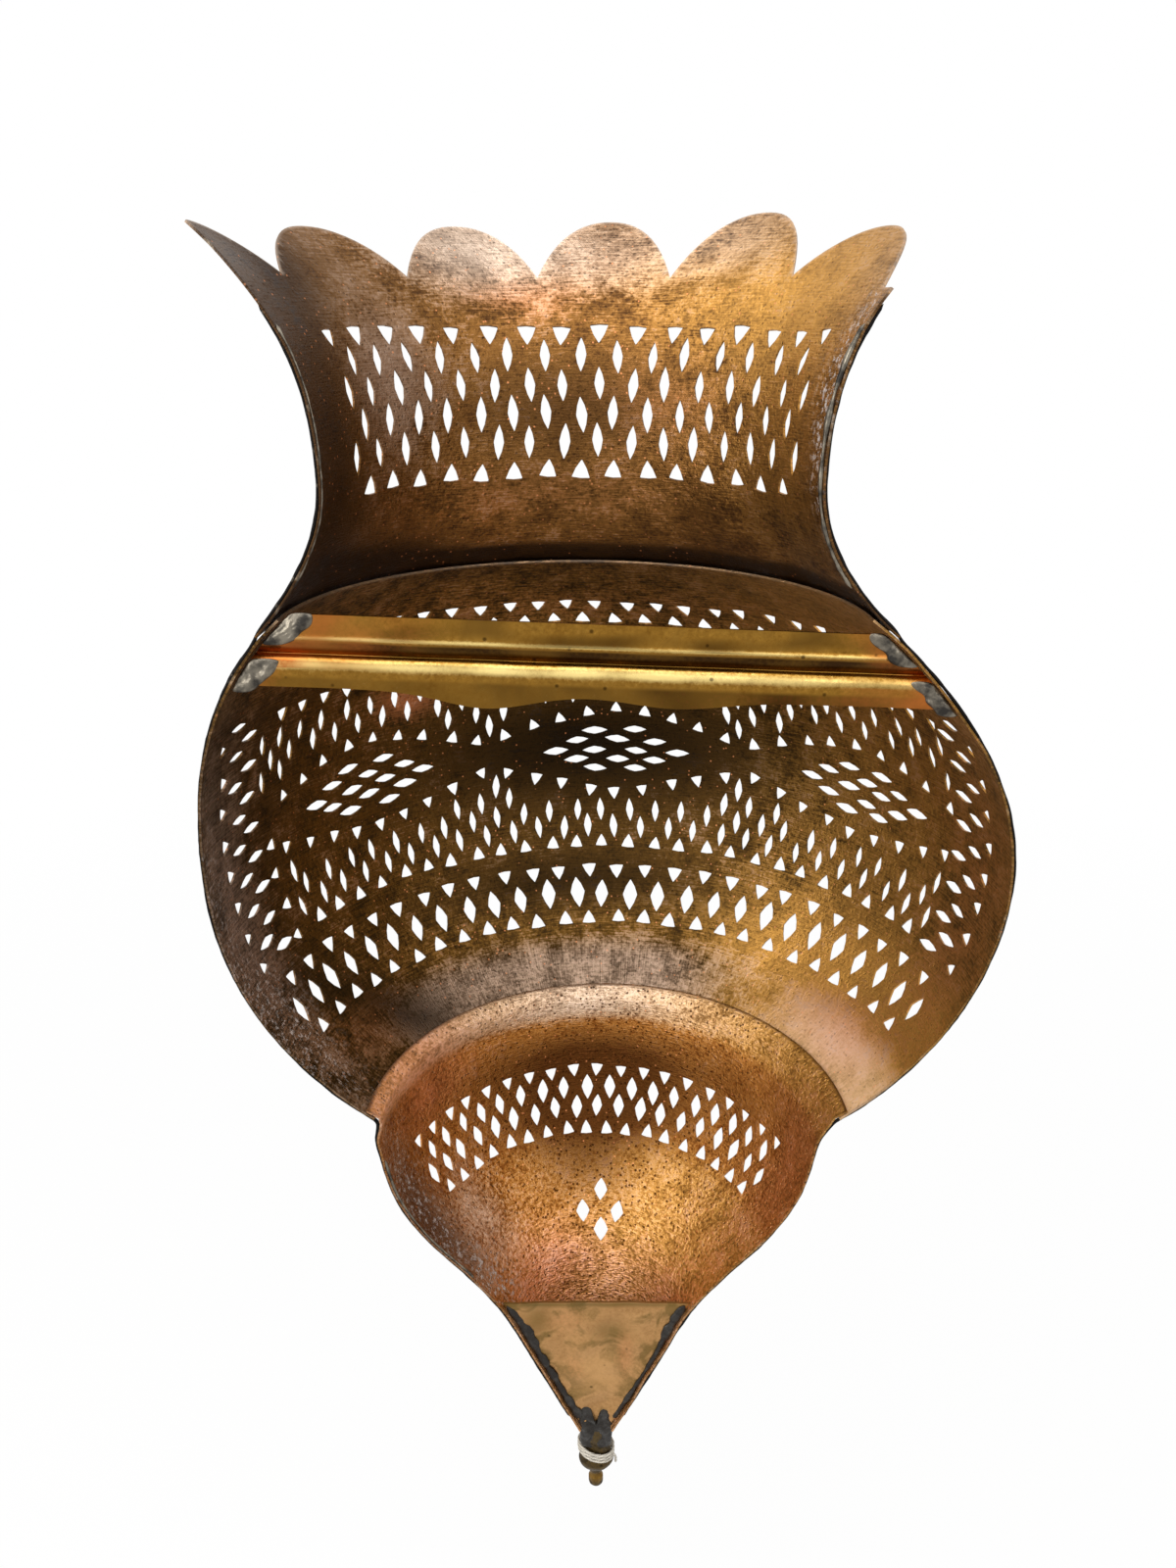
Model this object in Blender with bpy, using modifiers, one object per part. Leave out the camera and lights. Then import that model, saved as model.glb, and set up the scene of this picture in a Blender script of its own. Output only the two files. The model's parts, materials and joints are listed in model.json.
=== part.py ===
"""Half-round wall sconce of pierced sheet brass, soldered together by hand.

A scalloped crown, a wide globe and an ogee bowl are three half-round shells that lap
into one another. A flat plate closes the bowl's point, a finial hangs below it, and a
grooved bar across the open back hangs the sconce on its wall.

Heights are measured up from the finial's end. The wall is the plane y = 0 and the
sconce bulges towards -Y. Angles run round a shell in degrees, from -90 at its -X edge
through 0 at the front to 90 at its +X edge. Sizes are in metres.
"""

import math
import random

import bpy
from mathutils import Vector
from mathutils.geometry import delaunay_2d_cdt

OBJECT_NAME = "pierced_wall_sconce"

# Sheet metal and the clearances between soldered pieces
SHEET = 0.0008
LAP_GAP = 0.0005
SEAT_GAP = 0.0003

# Globe, a band of an ellipsoid that stands on its hip
HIP_HEIGHT = 0.202
BELLY_RISE = 0.0972
BELLY_HEIGHT = HIP_HEIGHT + BELLY_RISE
BELLY_RADIUS = 0.1374
GLOBE_HALF_HEIGHT = 0.1252

# Crown, waisted between its skirt over the globe's rim and its scalloped mouth
SKIRT_RISE = 0.0868
SKIRT_HEIGHT = BELLY_HEIGHT + SKIRT_RISE
SKIRT_POWER = 1.98
RIM_RISE = 0.0055
WAIST_RISE = 0.0486
WAIST_HEIGHT = SKIRT_HEIGHT + WAIST_RISE
WAIST_RADIUS = 0.0750
MOUTH_HEIGHT = 0.509
MOUTH_RADIUS = 0.1107
MOUTH_POWER = 2.5

# Hand-cut scallops: the angles where lobes meet, and each lobe's own rise past the mouth
SCALLOP_MEETS = (-82.0, -50.0, -21.0, 8.0, 37.0, 70.5, 109.5)
SCALLOP_RISES = (-0.003, 0.004, 0.002, 0.0, -0.002, -0.004)
SCALLOP_DEPTH = 0.017
SCALLOP_POWER = 2.2
SCALLOP_FALL = 0.3

# Bowl, hung from the globe's hip: a cone that swells through an ogee to a neck and a lip
CONE_END_HEIGHT = 0.040
CONE_END_RADIUS = 0.0064
CONE_TOP_DROP = 0.096
CONE_TOP_RADIUS = 0.0366
OGEE_DROP = 0.078
OGEE_RADIUS = 0.0490
SWELL_DROP = 0.055
SWELL_RADIUS = 0.0675
SHOULDER_DROP = 0.035
SHOULDER_INSET = 0.0069
NECK_DROP = 0.012
NECK_HEIGHT = HIP_HEIGHT - NECK_DROP
NECK_INSET = 0.0022
LIP_RISE = 0.0035

# The axis wanders sideways where the shells were raised by hand
BELLY_SHIFT = -0.0036
CROWN_SHIFT = 0.0084
LEAN_RISE = 0.026

# Piercing, cut by hand with a chisel
CUT_SEED = 11
CUT_WANDER_ANGLE = 0.45
CUT_WANDER_HEIGHT = 0.0006
CUT_WANDER_TILT = 6.0
CUT_WANDER_SIZE = 0.08
CUT_MARGIN = 0.0012

CROWN_PITCH = 9.07
CROWN_COLUMNS = 16
CROWN_TURN = -1.7
CROWN_BAND_DROP = 0.0565
CROWN_ROW_STEP = 0.0095
CROWN_DIAMOND = (0.0034, 0.0102)
CROWN_TRIANGLE = (0.0064, 0.0052)

GLOBE_TURN = -2.4
FRIEZE_PITCH = 6.1
FRIEZE_COLUMNS = 25
FRIEZE_DROP = 0.0200
FRIEZE_TRIANGLE = (0.0060, 0.0058)
FIELD_DROP = 0.0012
FIELD_HEIGHT = BELLY_HEIGHT - FIELD_DROP
FIELD_PITCH = 5.2
FIELD_COLUMNS = 27
FIELD_ROW_STEP = 0.0070
FIELD_ROWS = 11
FIELD_TOP = 0.0438
FIELD_FOOT = 0.0412
FIELD_DIAMOND = (0.0031, 0.0100)
FIELD_TRIANGLE = (0.0055, 0.0055)
MEDALLION_PITCH = 48.5
MEDALLION_ROWS = (2, 3, 4, 3, 2)
MEDALLION_ROW_STEP = 0.0046
MEDALLION_STEP = 7.5
MEDALLION_DIAMOND = (0.0100, 0.0034)
LENS_HEIGHT = 0.0205
LENS_TIP = 0.0070
LENS_POWER = 1.4
LENS_CLEAR = (0.0080, 0.0050)
LENS_TRIANGLE = (0.0048, 0.0046)
SIDE_TRIANGLE_ANGLE = 81.0
SIDE_DIAMOND_ANGLES = (77.2, 73.8)
SIDE_ROWS = 8
SIDE_STEP = 0.0122
BAND_PITCH = 6.1
BAND_COLUMNS = 27
BAND_DROP = 0.0637
BAND_REACH = 0.0084
BAND_DIAMOND = (0.0060, 0.0130)
BAND_TRIANGLE = (0.0062, 0.0058)

BOWL_PITCH = 7.6
BOWL_COLUMNS = 19
BOWL_TURN = -0.5
BOWL_BAND_DROP = 0.0448
BOWL_ROW_STEP = 0.0078
BOWL_DIAMOND = (0.0046, 0.0096)
BOWL_TRIANGLE = (0.0050, 0.0054)
MOTIF_ANGLE = -2.5
MOTIF_DROP = 0.0835
MOTIF_REACH = (0.0074, 0.0068)
MOTIF_DIAMOND = (0.0056, 0.0080)

# Mesh fineness of the shells
COLUMN_ANGLE = 7.5
ROW_STEP = 0.013
EDGE_STEP = 0.0065
LOBE_POINTS = 7
HOLE_MARGIN = 0.0028

# Hanging bar across the back
BAR_DROP = 0.008
BAR_HEIGHT = SKIRT_HEIGHT - BAR_DROP
BAR_WIDTH = 0.024
BAR_SHEET = 0.0010
BAR_TILT = 2.1
BAR_RECESS = 0.0018
BAR_END_GAP = 0.0013
BAR_STEPS = 20
GROOVE_WIDTH = 0.006
GROOVE_DEPTH = 0.0030
GROOVE_OFFSET = -0.0005
BAR_LOBES = ((0.036, 0.0050), (-0.026, 0.0030))
BAR_LOBE_SPREAD = 0.020

# Wires and solder
WIRE_RADIUS = 0.0009
WIRE_TOP_DROP = 0.025
WIRE_END_RISE = 0.008
BEAD_RADIUS = 0.0008
SEAM_BEAD_RADIUS = 0.0010
SEAM_END_ANGLE = 82.5
SEAM_STEP = 0.0001
CROWN_BEAD_RISE = 0.016
CROWN_BEAD_DROP = 0.031
BOWL_BEAD_RISE = 0.015
BOWL_BEAD_DROP = 0.020
LUMP_EDGE = 0.0004
LUMP_CORE = 0.0005

# Plate that closes the bowl's point
PLATE_TOP_HEIGHT = 0.109
PLATE_END_HEIGHT = 0.052
PLATE_THICKNESS = 0.0010
PLATE_RECESS = 0.0020

# Finial, flattened a little towards the wall
FINIAL_DEPTH_RATIO = 0.8
FINIAL_COLLAR_RADIUS = 0.0072
FINIAL_NECK_RADIUS = 0.0066
FINIAL_KNOB_RADIUS = 0.0075
FINIAL_PIN_RADIUS = 0.0025
FINIAL_TIP_RADIUS = 0.0032
FINIAL_NECK_HEIGHT = 0.0230
FINIAL_NECK_HALF = 0.0030
FINIAL_KNOB_HEIGHT = 0.0158
FINIAL_PIN_HEIGHT = 0.0075
FINIAL_TIP_HEIGHT = 0.0050
FINIAL_SIDES = 20

# Twine tied round the finial's neck
TWINE_RADIUS = 0.0006
TWINE_LOOPS = 3
TWINE_PITCH = 0.0017
TWINE_LOOP_POINTS = 24
TWINE_TAIL = 0.009
TWINE_TAIL_POINTS = 6


def slope_of(radius_at, height):
    """Radius gained per metre of height on a profile."""
    step = 0.0002
    return (radius_at(height + step) - radius_at(height - step)) / (2 * step)


def stretch_of(radius_at, height):
    """Length along a profile per metre of height."""
    return math.hypot(1.0, slope_of(radius_at, height))


def monotone_curve(knots):
    """Radius as a smooth function of height that never overshoots its knots."""
    heights = [knot[0] for knot in knots]
    radii = [knot[1] for knot in knots]
    rises = []
    for i in range(len(knots) - 1):
        rises.append((radii[i + 1] - radii[i]) / (heights[i + 1] - heights[i]))
    slopes = [rises[0]]
    for below, above in zip(rises, rises[1:]):
        same_way = below * above > 0
        slopes.append(2 * below * above / (below + above) if same_way else 0.0)
    slopes.append(rises[-1])

    def radius_at(height):
        i = 0
        while i < len(rises) - 1 and height > heights[i + 1]:
            i += 1
        span = heights[i + 1] - heights[i]
        t = (height - heights[i]) / span
        start = radii[i] * (1 + 2 * t) * (1 - t) ** 2 + span * slopes[i] * t * (1 - t) ** 2
        end = radii[i + 1] * t * t * (3 - 2 * t) + span * slopes[i + 1] * t * t * (t - 1)
        return start + end

    return radius_at


def globe_radius(height):
    """Inner radius of the globe, an ellipse about its belly."""
    lift = (height - BELLY_HEIGHT) / GLOBE_HALF_HEIGHT
    return BELLY_RADIUS * math.sqrt(1 - lift * lift)


def lapped(height, walls):
    """Radius that clears the globe's face at a height by so many walls and one lap."""
    room = math.copysign(abs(walls) * SHEET + LAP_GAP, walls)
    return globe_radius(height) + room * stretch_of(globe_radius, height)


def crown_radius(height):
    """Inner radius of the crown: power curves down to the skirt and up to the mouth."""
    if height < WAIST_HEIGHT:
        drop = (WAIST_HEIGHT - height) / (WAIST_HEIGHT - SKIRT_HEIGHT)
        return WAIST_RADIUS + (lapped(SKIRT_HEIGHT, 1) - WAIST_RADIUS) * drop ** SKIRT_POWER
    rise = (height - WAIST_HEIGHT) / (MOUTH_HEIGHT - WAIST_HEIGHT)
    return WAIST_RADIUS + (MOUTH_RADIUS - WAIST_RADIUS) * rise ** MOUTH_POWER


def bowl_knots():
    """Heights and inner radii that the bowl's profile passes through."""
    cone_top_height = HIP_HEIGHT - CONE_TOP_DROP
    hip_radius = lapped(HIP_HEIGHT, -1)
    lip_height = HIP_HEIGHT + LIP_RISE
    return (
        (CONE_END_HEIGHT, CONE_END_RADIUS),
        ((CONE_END_HEIGHT + cone_top_height) / 2, (CONE_END_RADIUS + CONE_TOP_RADIUS) / 2),
        (cone_top_height, CONE_TOP_RADIUS),
        (HIP_HEIGHT - OGEE_DROP, OGEE_RADIUS),
        (HIP_HEIGHT - SWELL_DROP, SWELL_RADIUS),
        (HIP_HEIGHT - SHOULDER_DROP, hip_radius - SHOULDER_INSET),
        (NECK_HEIGHT, hip_radius - NECK_INSET),
        (HIP_HEIGHT, hip_radius),
        (lip_height, lapped(lip_height, -1)),
    )


bowl_radius = monotone_curve(bowl_knots())


def axis_shift(height):
    """X of the axis: the bowl stands true, the belly and the crown lean either way."""
    stops = (
        (NECK_HEIGHT, 0.0),
        (HIP_HEIGHT, BELLY_SHIFT),
        (BELLY_HEIGHT, BELLY_SHIFT),
        (SKIRT_HEIGHT + LEAN_RISE, CROWN_SHIFT),
    )
    shift = stops[0][1]
    for (low, before), (high, after) in zip(stops, stops[1:]):
        t = min(max((height - low) / (high - low), 0.0), 1.0)
        shift += (after - before) * t * t * (3 - 2 * t)
    return shift


def on_shell(radius_at, angle, height, lift=0.0):
    """Point on a shell, raised off its inner face by lift along the profile's normal."""
    slope = slope_of(radius_at, height)
    length = math.hypot(1.0, slope)
    radius = radius_at(height) + lift / length
    lifted_height = height - lift * slope / length
    turn = math.radians(angle)
    x = axis_shift(lifted_height) + radius * math.sin(turn)
    return Vector((x, -radius * math.cos(turn), lifted_height))


def new_material(name, colour, metallic, roughness):
    """Plain Principled finish of one sub-part."""
    material = bpy.data.materials.new(name)
    material.use_nodes = True
    shader = material.node_tree.nodes["Principled BSDF"]
    shader.inputs["Base Color"].default_value = (*colour, 1.0)
    shader.inputs["Metallic"].default_value = metallic
    shader.inputs["Roughness"].default_value = roughness
    return material


def add_part(name, data, finish):
    """Put a mesh or curve into the sconce's collection, hung from its origin."""
    part = bpy.data.objects.new(name, data)
    data.materials.append(new_material(name, *finish))
    parts.objects.link(part)
    part.parent = origin
    return part


def add_tube(name, points, radius, finish, resolution=1):
    """Round bar along a line of points, with filled ends."""
    curve = bpy.data.curves.new(name, "CURVE")
    curve.dimensions = "3D"
    curve.bevel_depth = radius
    curve.bevel_resolution = resolution
    curve.use_fill_caps = True
    spline = curve.splines.new("POLY")
    spline.points.add(len(points) - 1)
    for slot, point in zip(spline.points, points):
        slot.co = (*point, 1.0)
    return add_part(name, curve, finish)


def add_plate(name, corners, thickness, middle, finish, edge=0.0):
    """Flat piece parallel to the wall from its X and height outline, its middle at y."""
    curve = bpy.data.curves.new(name, "CURVE")
    curve.dimensions = "2D"
    curve.fill_mode = "BOTH"
    curve.extrude = thickness / 2 - edge
    curve.bevel_depth = edge
    curve.bevel_resolution = 1
    spline = curve.splines.new("POLY")
    spline.points.add(len(corners) - 1)
    for slot, (x, height) in zip(spline.points, corners):
        slot.co = (x, height, 0.0, 1.0)
    spline.use_cyclic_u = True
    plate = add_part(name, curve, finish)
    plate.rotation_euler = (math.radians(90), 0.0, 0.0)
    plate.location = (0.0, middle, 0.0)
    return plate


def diamond(size):
    """Corners of an upright diamond about its middle."""
    width, length = size
    return [(0, length / 2), (-width / 2, 0), (0, -length / 2), (width / 2, 0)]


def triangle(size):
    """Corners of a triangle that points up, about its middle."""
    width, length = size
    return [(0, length / 2), (-width / 2, -length / 2), (width / 2, -length / 2)]


def pierce(hand, radius_at, angle, height, corners, tilt=0.0):
    """Lay one opening on a shell, a little off as a hand cuts it, in angles and heights."""
    angle += hand.uniform(-CUT_WANDER_ANGLE, CUT_WANDER_ANGLE)
    height += hand.uniform(-CUT_WANDER_HEIGHT, CUT_WANDER_HEIGHT)
    turn = math.radians(tilt + hand.uniform(-CUT_WANDER_TILT, CUT_WANDER_TILT))
    size = 1 + hand.uniform(-CUT_WANDER_SIZE, CUT_WANDER_SIZE)
    around = radius_at(height)
    climb = stretch_of(radius_at, height)
    opening = []
    for across, along in corners:
        x = size * (across * math.cos(turn) - along * math.sin(turn))
        s = size * (across * math.sin(turn) + along * math.cos(turn))
        opening.append((angle + math.degrees(x / around), height + s / climb))
    return opening


def column_angles(count, pitch, turn):
    """Evenly stepped angles about a middle angle."""
    return [turn + (i - (count - 1) / 2) * pitch for i in range(count)]


def crown_openings():
    """Four staggered rows of diamonds between two rows of triangles."""
    hand = random.Random(CUT_SEED)
    even = column_angles(CROWN_COLUMNS, CROWN_PITCH, CROWN_TURN)
    odd = column_angles(CROWN_COLUMNS - 1, CROWN_PITCH, CROWN_TURN)
    middle = MOUTH_HEIGHT - CROWN_BAND_DROP
    openings = []
    for row, columns in ((1.5, odd), (0.5, even), (-0.5, odd), (-1.5, even)):
        for angle in columns:
            height = middle + row * CROWN_ROW_STEP
            openings.append(pierce(hand, crown_radius, angle, height, diamond(CROWN_DIAMOND)))
    for row, columns, tilt in ((2.2, even, 180.0), (-2.5, odd, 0.0)):
        for angle in columns:
            height = middle + row * CROWN_ROW_STEP
            cut = triangle(CROWN_TRIANGLE)
            openings.append(pierce(hand, crown_radius, angle, height, cut, tilt))
    return openings


def frieze_openings(hand):
    """Two rows of triangles, point to point, round the globe's shoulder."""
    openings = []
    middle = SKIRT_HEIGHT - FRIEZE_DROP
    reach = FRIEZE_TRIANGLE[1] * 0.62 / stretch_of(globe_radius, middle)
    for count, rise, tilt in ((FRIEZE_COLUMNS, reach, 180.0), (FRIEZE_COLUMNS - 1, -reach, 0.0)):
        for angle in column_angles(count, FRIEZE_PITCH, GLOBE_TURN):
            height = middle + rise
            openings.append(
                pierce(hand, globe_radius, angle, height, triangle(FRIEZE_TRIANGLE), tilt)
            )
    return openings


def medallion_openings(hand, middle):
    """Short rows of small lying diamonds that fill the middle of one lens."""
    openings = []
    for row, count in enumerate(MEDALLION_ROWS):
        height = FIELD_HEIGHT + (row - (len(MEDALLION_ROWS) - 1) / 2) * MEDALLION_ROW_STEP
        for angle in column_angles(count, MEDALLION_STEP, middle):
            openings.append(
                pierce(hand, globe_radius, angle, height, diamond(MEDALLION_DIAMOND))
            )
    return openings


def lens_reach(angle, middles):
    """Half height of the lens about the nearest medallion, which narrows to tips between them."""
    away = min(abs(angle - middle) for middle in middles) / (MEDALLION_PITCH / 2)
    return LENS_HEIGHT - (LENS_HEIGHT - LENS_TIP) * min(away, 1.0) ** LENS_POWER


def lens_lean(angle, middles):
    """Slope of the lens's upper edge in degrees."""
    rise = lens_reach(angle + 1, middles) - lens_reach(angle - 1, middles)
    return math.degrees(math.atan2(rise, math.radians(2) * BELLY_RADIUS))


def field_openings(hand, middles):
    """Staggered upright diamonds above and below the lenses, with triangles along every edge."""
    openings = []
    for row in range(FIELD_ROWS):
        lift = (row - (FIELD_ROWS - 1) / 2) * FIELD_ROW_STEP
        for angle in column_angles(FIELD_COLUMNS - row % 2, FIELD_PITCH, GLOBE_TURN):
            if abs(lift) >= lens_reach(angle, middles) + LENS_CLEAR[row % 2]:
                height = FIELD_HEIGHT + lift
                openings.append(
                    pierce(hand, globe_radius, angle, height, diamond(FIELD_DIAMOND))
                )
    columns = column_angles(FIELD_COLUMNS, FIELD_PITCH, GLOBE_TURN)
    between = column_angles(FIELD_COLUMNS - 1, FIELD_PITCH, GLOBE_TURN)
    edges = [(angle, FIELD_TOP, 180.0, FIELD_TRIANGLE) for angle in columns]
    edges += [(angle, -FIELD_FOOT, 0.0, FIELD_TRIANGLE) for angle in between]
    for angle in columns:
        reach, lean = lens_reach(angle, middles), lens_lean(angle, middles)
        edges.append((angle, reach, lean, LENS_TRIANGLE))
        edges.append((angle, -reach, 180.0 - lean, LENS_TRIANGLE))
    for angle, rise, tilt, size in edges:
        openings.append(
            pierce(hand, globe_radius, angle, FIELD_HEIGHT + rise, triangle(size), tilt)
        )
    return openings


def side_openings(hand, side):
    """Two columns of lying diamonds and one of triangles that point in, near a back edge."""
    openings = []
    for row in range(SIDE_ROWS):
        height = FIELD_HEIGHT + (row - (SIDE_ROWS - 1) / 2) * SIDE_STEP
        outer, inner = SIDE_DIAMOND_ANGLES
        cuts = (
            (SIDE_TRIANGLE_ANGLE, 0.0, triangle(LENS_TRIANGLE), 90.0 * side),
            (outer, SIDE_STEP / 2, diamond(MEDALLION_DIAMOND), 0.0),
            (inner, 0.0, diamond(MEDALLION_DIAMOND), 0.0),
        )
        for angle, rise, corners, tilt in cuts:
            openings.append(
                pierce(hand, globe_radius, side * angle, height + rise, corners, tilt)
            )
    return openings


def band_openings(hand):
    """Large diamonds between two rows of triangles, round the foot of the globe."""
    openings = []
    middle = BELLY_HEIGHT - BAND_DROP
    for angle in column_angles(BAND_COLUMNS, BAND_PITCH, 0.0):
        openings.append(pierce(hand, globe_radius, angle, middle, diamond(BAND_DIAMOND)))
    for rise, tilt in ((BAND_REACH, 180.0), (-BAND_REACH, 0.0)):
        for angle in column_angles(BAND_COLUMNS - 1, BAND_PITCH, 0.0):
            height = middle + rise
            openings.append(
                pierce(hand, globe_radius, angle, height, triangle(BAND_TRIANGLE), tilt)
            )
    return openings


def globe_openings():
    """All the openings of the globe."""
    hand = random.Random(CUT_SEED + 1)
    middles = column_angles(3, MEDALLION_PITCH, GLOBE_TURN)
    openings = frieze_openings(hand) + field_openings(hand, middles) + band_openings(hand)
    for middle in middles:
        openings += medallion_openings(hand, middle)
    for side in (-1, 1):
        openings += side_openings(hand, side)
    return openings


def bowl_openings():
    """Two staggered rows of diamonds between rows of triangles, and a motif of four diamonds."""
    hand = random.Random(CUT_SEED + 2)
    even = column_angles(BOWL_COLUMNS, BOWL_PITCH, BOWL_TURN)
    odd = column_angles(BOWL_COLUMNS - 1, BOWL_PITCH, BOWL_TURN)
    rows = (
        (1.3, even, triangle(BOWL_TRIANGLE), 180.0),
        (0.5, odd, diamond(BOWL_DIAMOND), 0.0),
        (-0.5, even, diamond(BOWL_DIAMOND), 0.0),
        (-1.4, odd, triangle(BOWL_TRIANGLE), 0.0),
    )
    openings = []
    for row, columns, corners, tilt in rows:
        for angle in columns:
            height = HIP_HEIGHT - BOWL_BAND_DROP + row * BOWL_ROW_STEP
            openings.append(pierce(hand, bowl_radius, angle, height, corners, tilt))
    across, along = MOTIF_REACH
    middle = HIP_HEIGHT - MOTIF_DROP
    for x, s in ((across, 0), (-across, 0), (0, along), (0, -along)):
        angle = MOTIF_ANGLE + math.degrees(x / bowl_radius(middle))
        openings.append(pierce(hand, bowl_radius, angle, middle + s, diamond(MOTIF_DIAMOND)))
    return openings


def scallop_edge(angle):
    """Height of the crown's cut edge: a lobe between meeting angles, and a fall past them."""
    for lobe, rise in enumerate(SCALLOP_RISES):
        low, high = SCALLOP_MEETS[lobe], SCALLOP_MEETS[lobe + 1]
        if angle <= high:
            break
    across = abs(2 * (angle - low) / (high - low) - 1)
    share = max(1 - across**SCALLOP_POWER, -SCALLOP_FALL)
    return MOUTH_HEIGHT - SCALLOP_DEPTH + (SCALLOP_DEPTH + rise) * share


def scallop_angles():
    """Angles that draw every lobe with the same number of points, from -90 to 90."""
    angles = [-90.0, (SCALLOP_MEETS[0] - 90) / 2]
    for low, high in zip(SCALLOP_MEETS, SCALLOP_MEETS[1:]):
        for i in range(LOBE_POINTS):
            angle = low + (high - low) * i / LOBE_POINTS
            if angle < 90:
                angles.append(angle)
    return angles + [90.0]


def even_angles():
    """Angles of the shells' columns, from -90 to 90."""
    steps = round(180 / COLUMN_ANGLE)
    return [-90 + 180 * i / steps for i in range(steps + 1)]


def even_heights(low, high, step, bends):
    """Heights strictly between two edges, about one step apart, with every bend among them."""
    marks = [low, *bends, high]
    heights = []
    for start, end in zip(marks, marks[1:]):
        steps = max(1, round((end - start) / step))
        heights += [start + (end - start) * i / steps for i in range(steps)]
    return heights[1:]


def keeps_metal(opening, bottom, top_at):
    """Whether an opening leaves metal between itself and the edges of its shell."""
    limit = 90 - math.degrees(CUT_MARGIN / BELLY_RADIUS)
    return all(
        abs(angle) < limit and bottom + CUT_MARGIN < height < top_at(angle) - CUT_MARGIN
        for angle, height in opening
    )


def add_pierced_shell(name, radius_at, bottom, top_at, top_angles, openings, finish, bends=()):
    """Triangulate a flat pierced sheet, wrap it round a profile and give it its wall.

    Bends are the heights where the profile turns so sharply that a row has to run there.
    """
    columns = even_angles()
    outline = [(angle, bottom) for angle in columns]
    right = even_heights(bottom, top_at(90.0), EDGE_STEP, bends)
    left = even_heights(bottom, top_at(-90.0), EDGE_STEP, bends)
    outline += [(90.0, height) for height in right]
    outline += [(angle, top_at(angle)) for angle in reversed(top_angles)]
    outline += [(-90.0, height) for height in reversed(left)]

    def flat(angle, height):
        return Vector((math.radians(angle) * BELLY_RADIUS, height))

    points = [flat(*corner) for corner in outline]
    faces = [list(range(len(points)))]
    discs = []
    for opening in openings:
        if not keeps_metal(opening, bottom, top_at):
            continue
        corners = [flat(*corner) for corner in opening]
        faces.append(list(range(len(points), len(points) + len(corners))))
        points += corners
        middle = sum(corners, Vector((0.0, 0.0))) / len(corners)
        discs.append((middle, max((corner - middle).length for corner in corners)))
    for angle in columns[1:-1]:
        for height in even_heights(bottom, top_at(angle), ROW_STEP, bends):
            point = flat(angle, height)
            if all((point - middle).length > reach + HOLE_MARGIN for middle, reach in discs):
                points.append(point)

    flat_points, _, triangles, _, _, owners = delaunay_2d_cdt(points, [], faces, 1, 1e-7)
    kept = [face for face, owner in zip(triangles, owners) if list(owner) == [0]]
    shape = []
    for u, height in flat_points:
        shape.append(on_shell(radius_at, math.degrees(u / BELLY_RADIUS), height))
    mesh = bpy.data.meshes.new(name)
    mesh.from_pydata(shape, [], kept)
    mesh.shade_smooth()
    mesh.set_sharp_from_angle(angle=math.radians(35))
    shell = add_part(name, mesh, finish)
    wall = shell.modifiers.new("wall", "SOLIDIFY")
    wall.thickness = SHEET
    wall.offset = 1.0
    wall.use_even_offset = True
    return shell


def bar_point(along, across, depth):
    """Point of the tilted bar from its own length, width and depth behind the wall plane."""
    turn = math.radians(BAR_TILT)
    x = along * math.cos(turn) - across * math.sin(turn)
    height = BAR_HEIGHT + along * math.sin(turn) + across * math.cos(turn)
    return Vector((x, -BAR_RECESS - depth, height))


def bar_end(side, across, gap):
    """Length along the bar at which a line of it stops short of the globe's face."""
    along = side * globe_radius(BAR_HEIGHT)
    for _ in range(6):
        height = bar_point(along, across, 0.0).z
        room = globe_radius(height) - gap * stretch_of(globe_radius, height)
        along += axis_shift(height) + side * room - bar_point(along, across, 0.0).x
    return along


def bar_lower_edge(along):
    """Lower edge of the bar, which swells into hand-cut lobes."""
    edge = -BAR_WIDTH / 2
    for place, swell in BAR_LOBES:
        edge -= swell * math.exp(-(((along - place) / BAR_LOBE_SPREAD) ** 2))
    return edge


def bar_section():
    """Width and depth of the bar's section from its top edge to the foot of its groove."""
    top = BAR_WIDTH / 2
    lip = GROOVE_OFFSET + GROOVE_WIDTH / 2
    section = [(top, 0.0), ((top + lip) / 2, 0.0)]
    for turn in (0, 40, 90, 140, 180):
        across = GROOVE_OFFSET + GROOVE_WIDTH / 2 * math.cos(math.radians(turn))
        section.append((across, GROOVE_DEPTH * math.sin(math.radians(turn))))
    return section


def add_hanging_bar():
    """Grooved strip across the back, its ends cut to the globe's slope."""
    section = bar_section()
    rows = len(section) + 1
    shape = []
    for step in range(BAR_STEPS + 1):
        share = step / BAR_STEPS
        for row in range(rows):
            if row < rows - 1:
                across, depth = section[row]
            else:
                across, depth = -BAR_WIDTH / 2, 0.0
            start = bar_end(-1, across, BAR_END_GAP)
            along = start + (bar_end(1, across, BAR_END_GAP) - start) * share
            if row == rows - 1:
                across = bar_lower_edge(along)
            shape.append(bar_point(along, across, depth))
    faces = []
    for step in range(BAR_STEPS):
        for row in range(rows - 1):
            corner = step * rows + row
            faces.append((corner, corner + rows, corner + rows + 1, corner + 1))
    mesh = bpy.data.meshes.new("hanging_bar")
    mesh.from_pydata(shape, [], faces)
    mesh.shade_smooth()
    mesh.set_sharp_from_angle(angle=math.radians(40))
    bar = add_part("hanging_bar", mesh, BRIGHT_BRASS)
    wall = bar.modifiers.new("wall", "SOLIDIFY")
    wall.thickness = BAR_SHEET
    wall.offset = -1.0
    return bar


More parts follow.
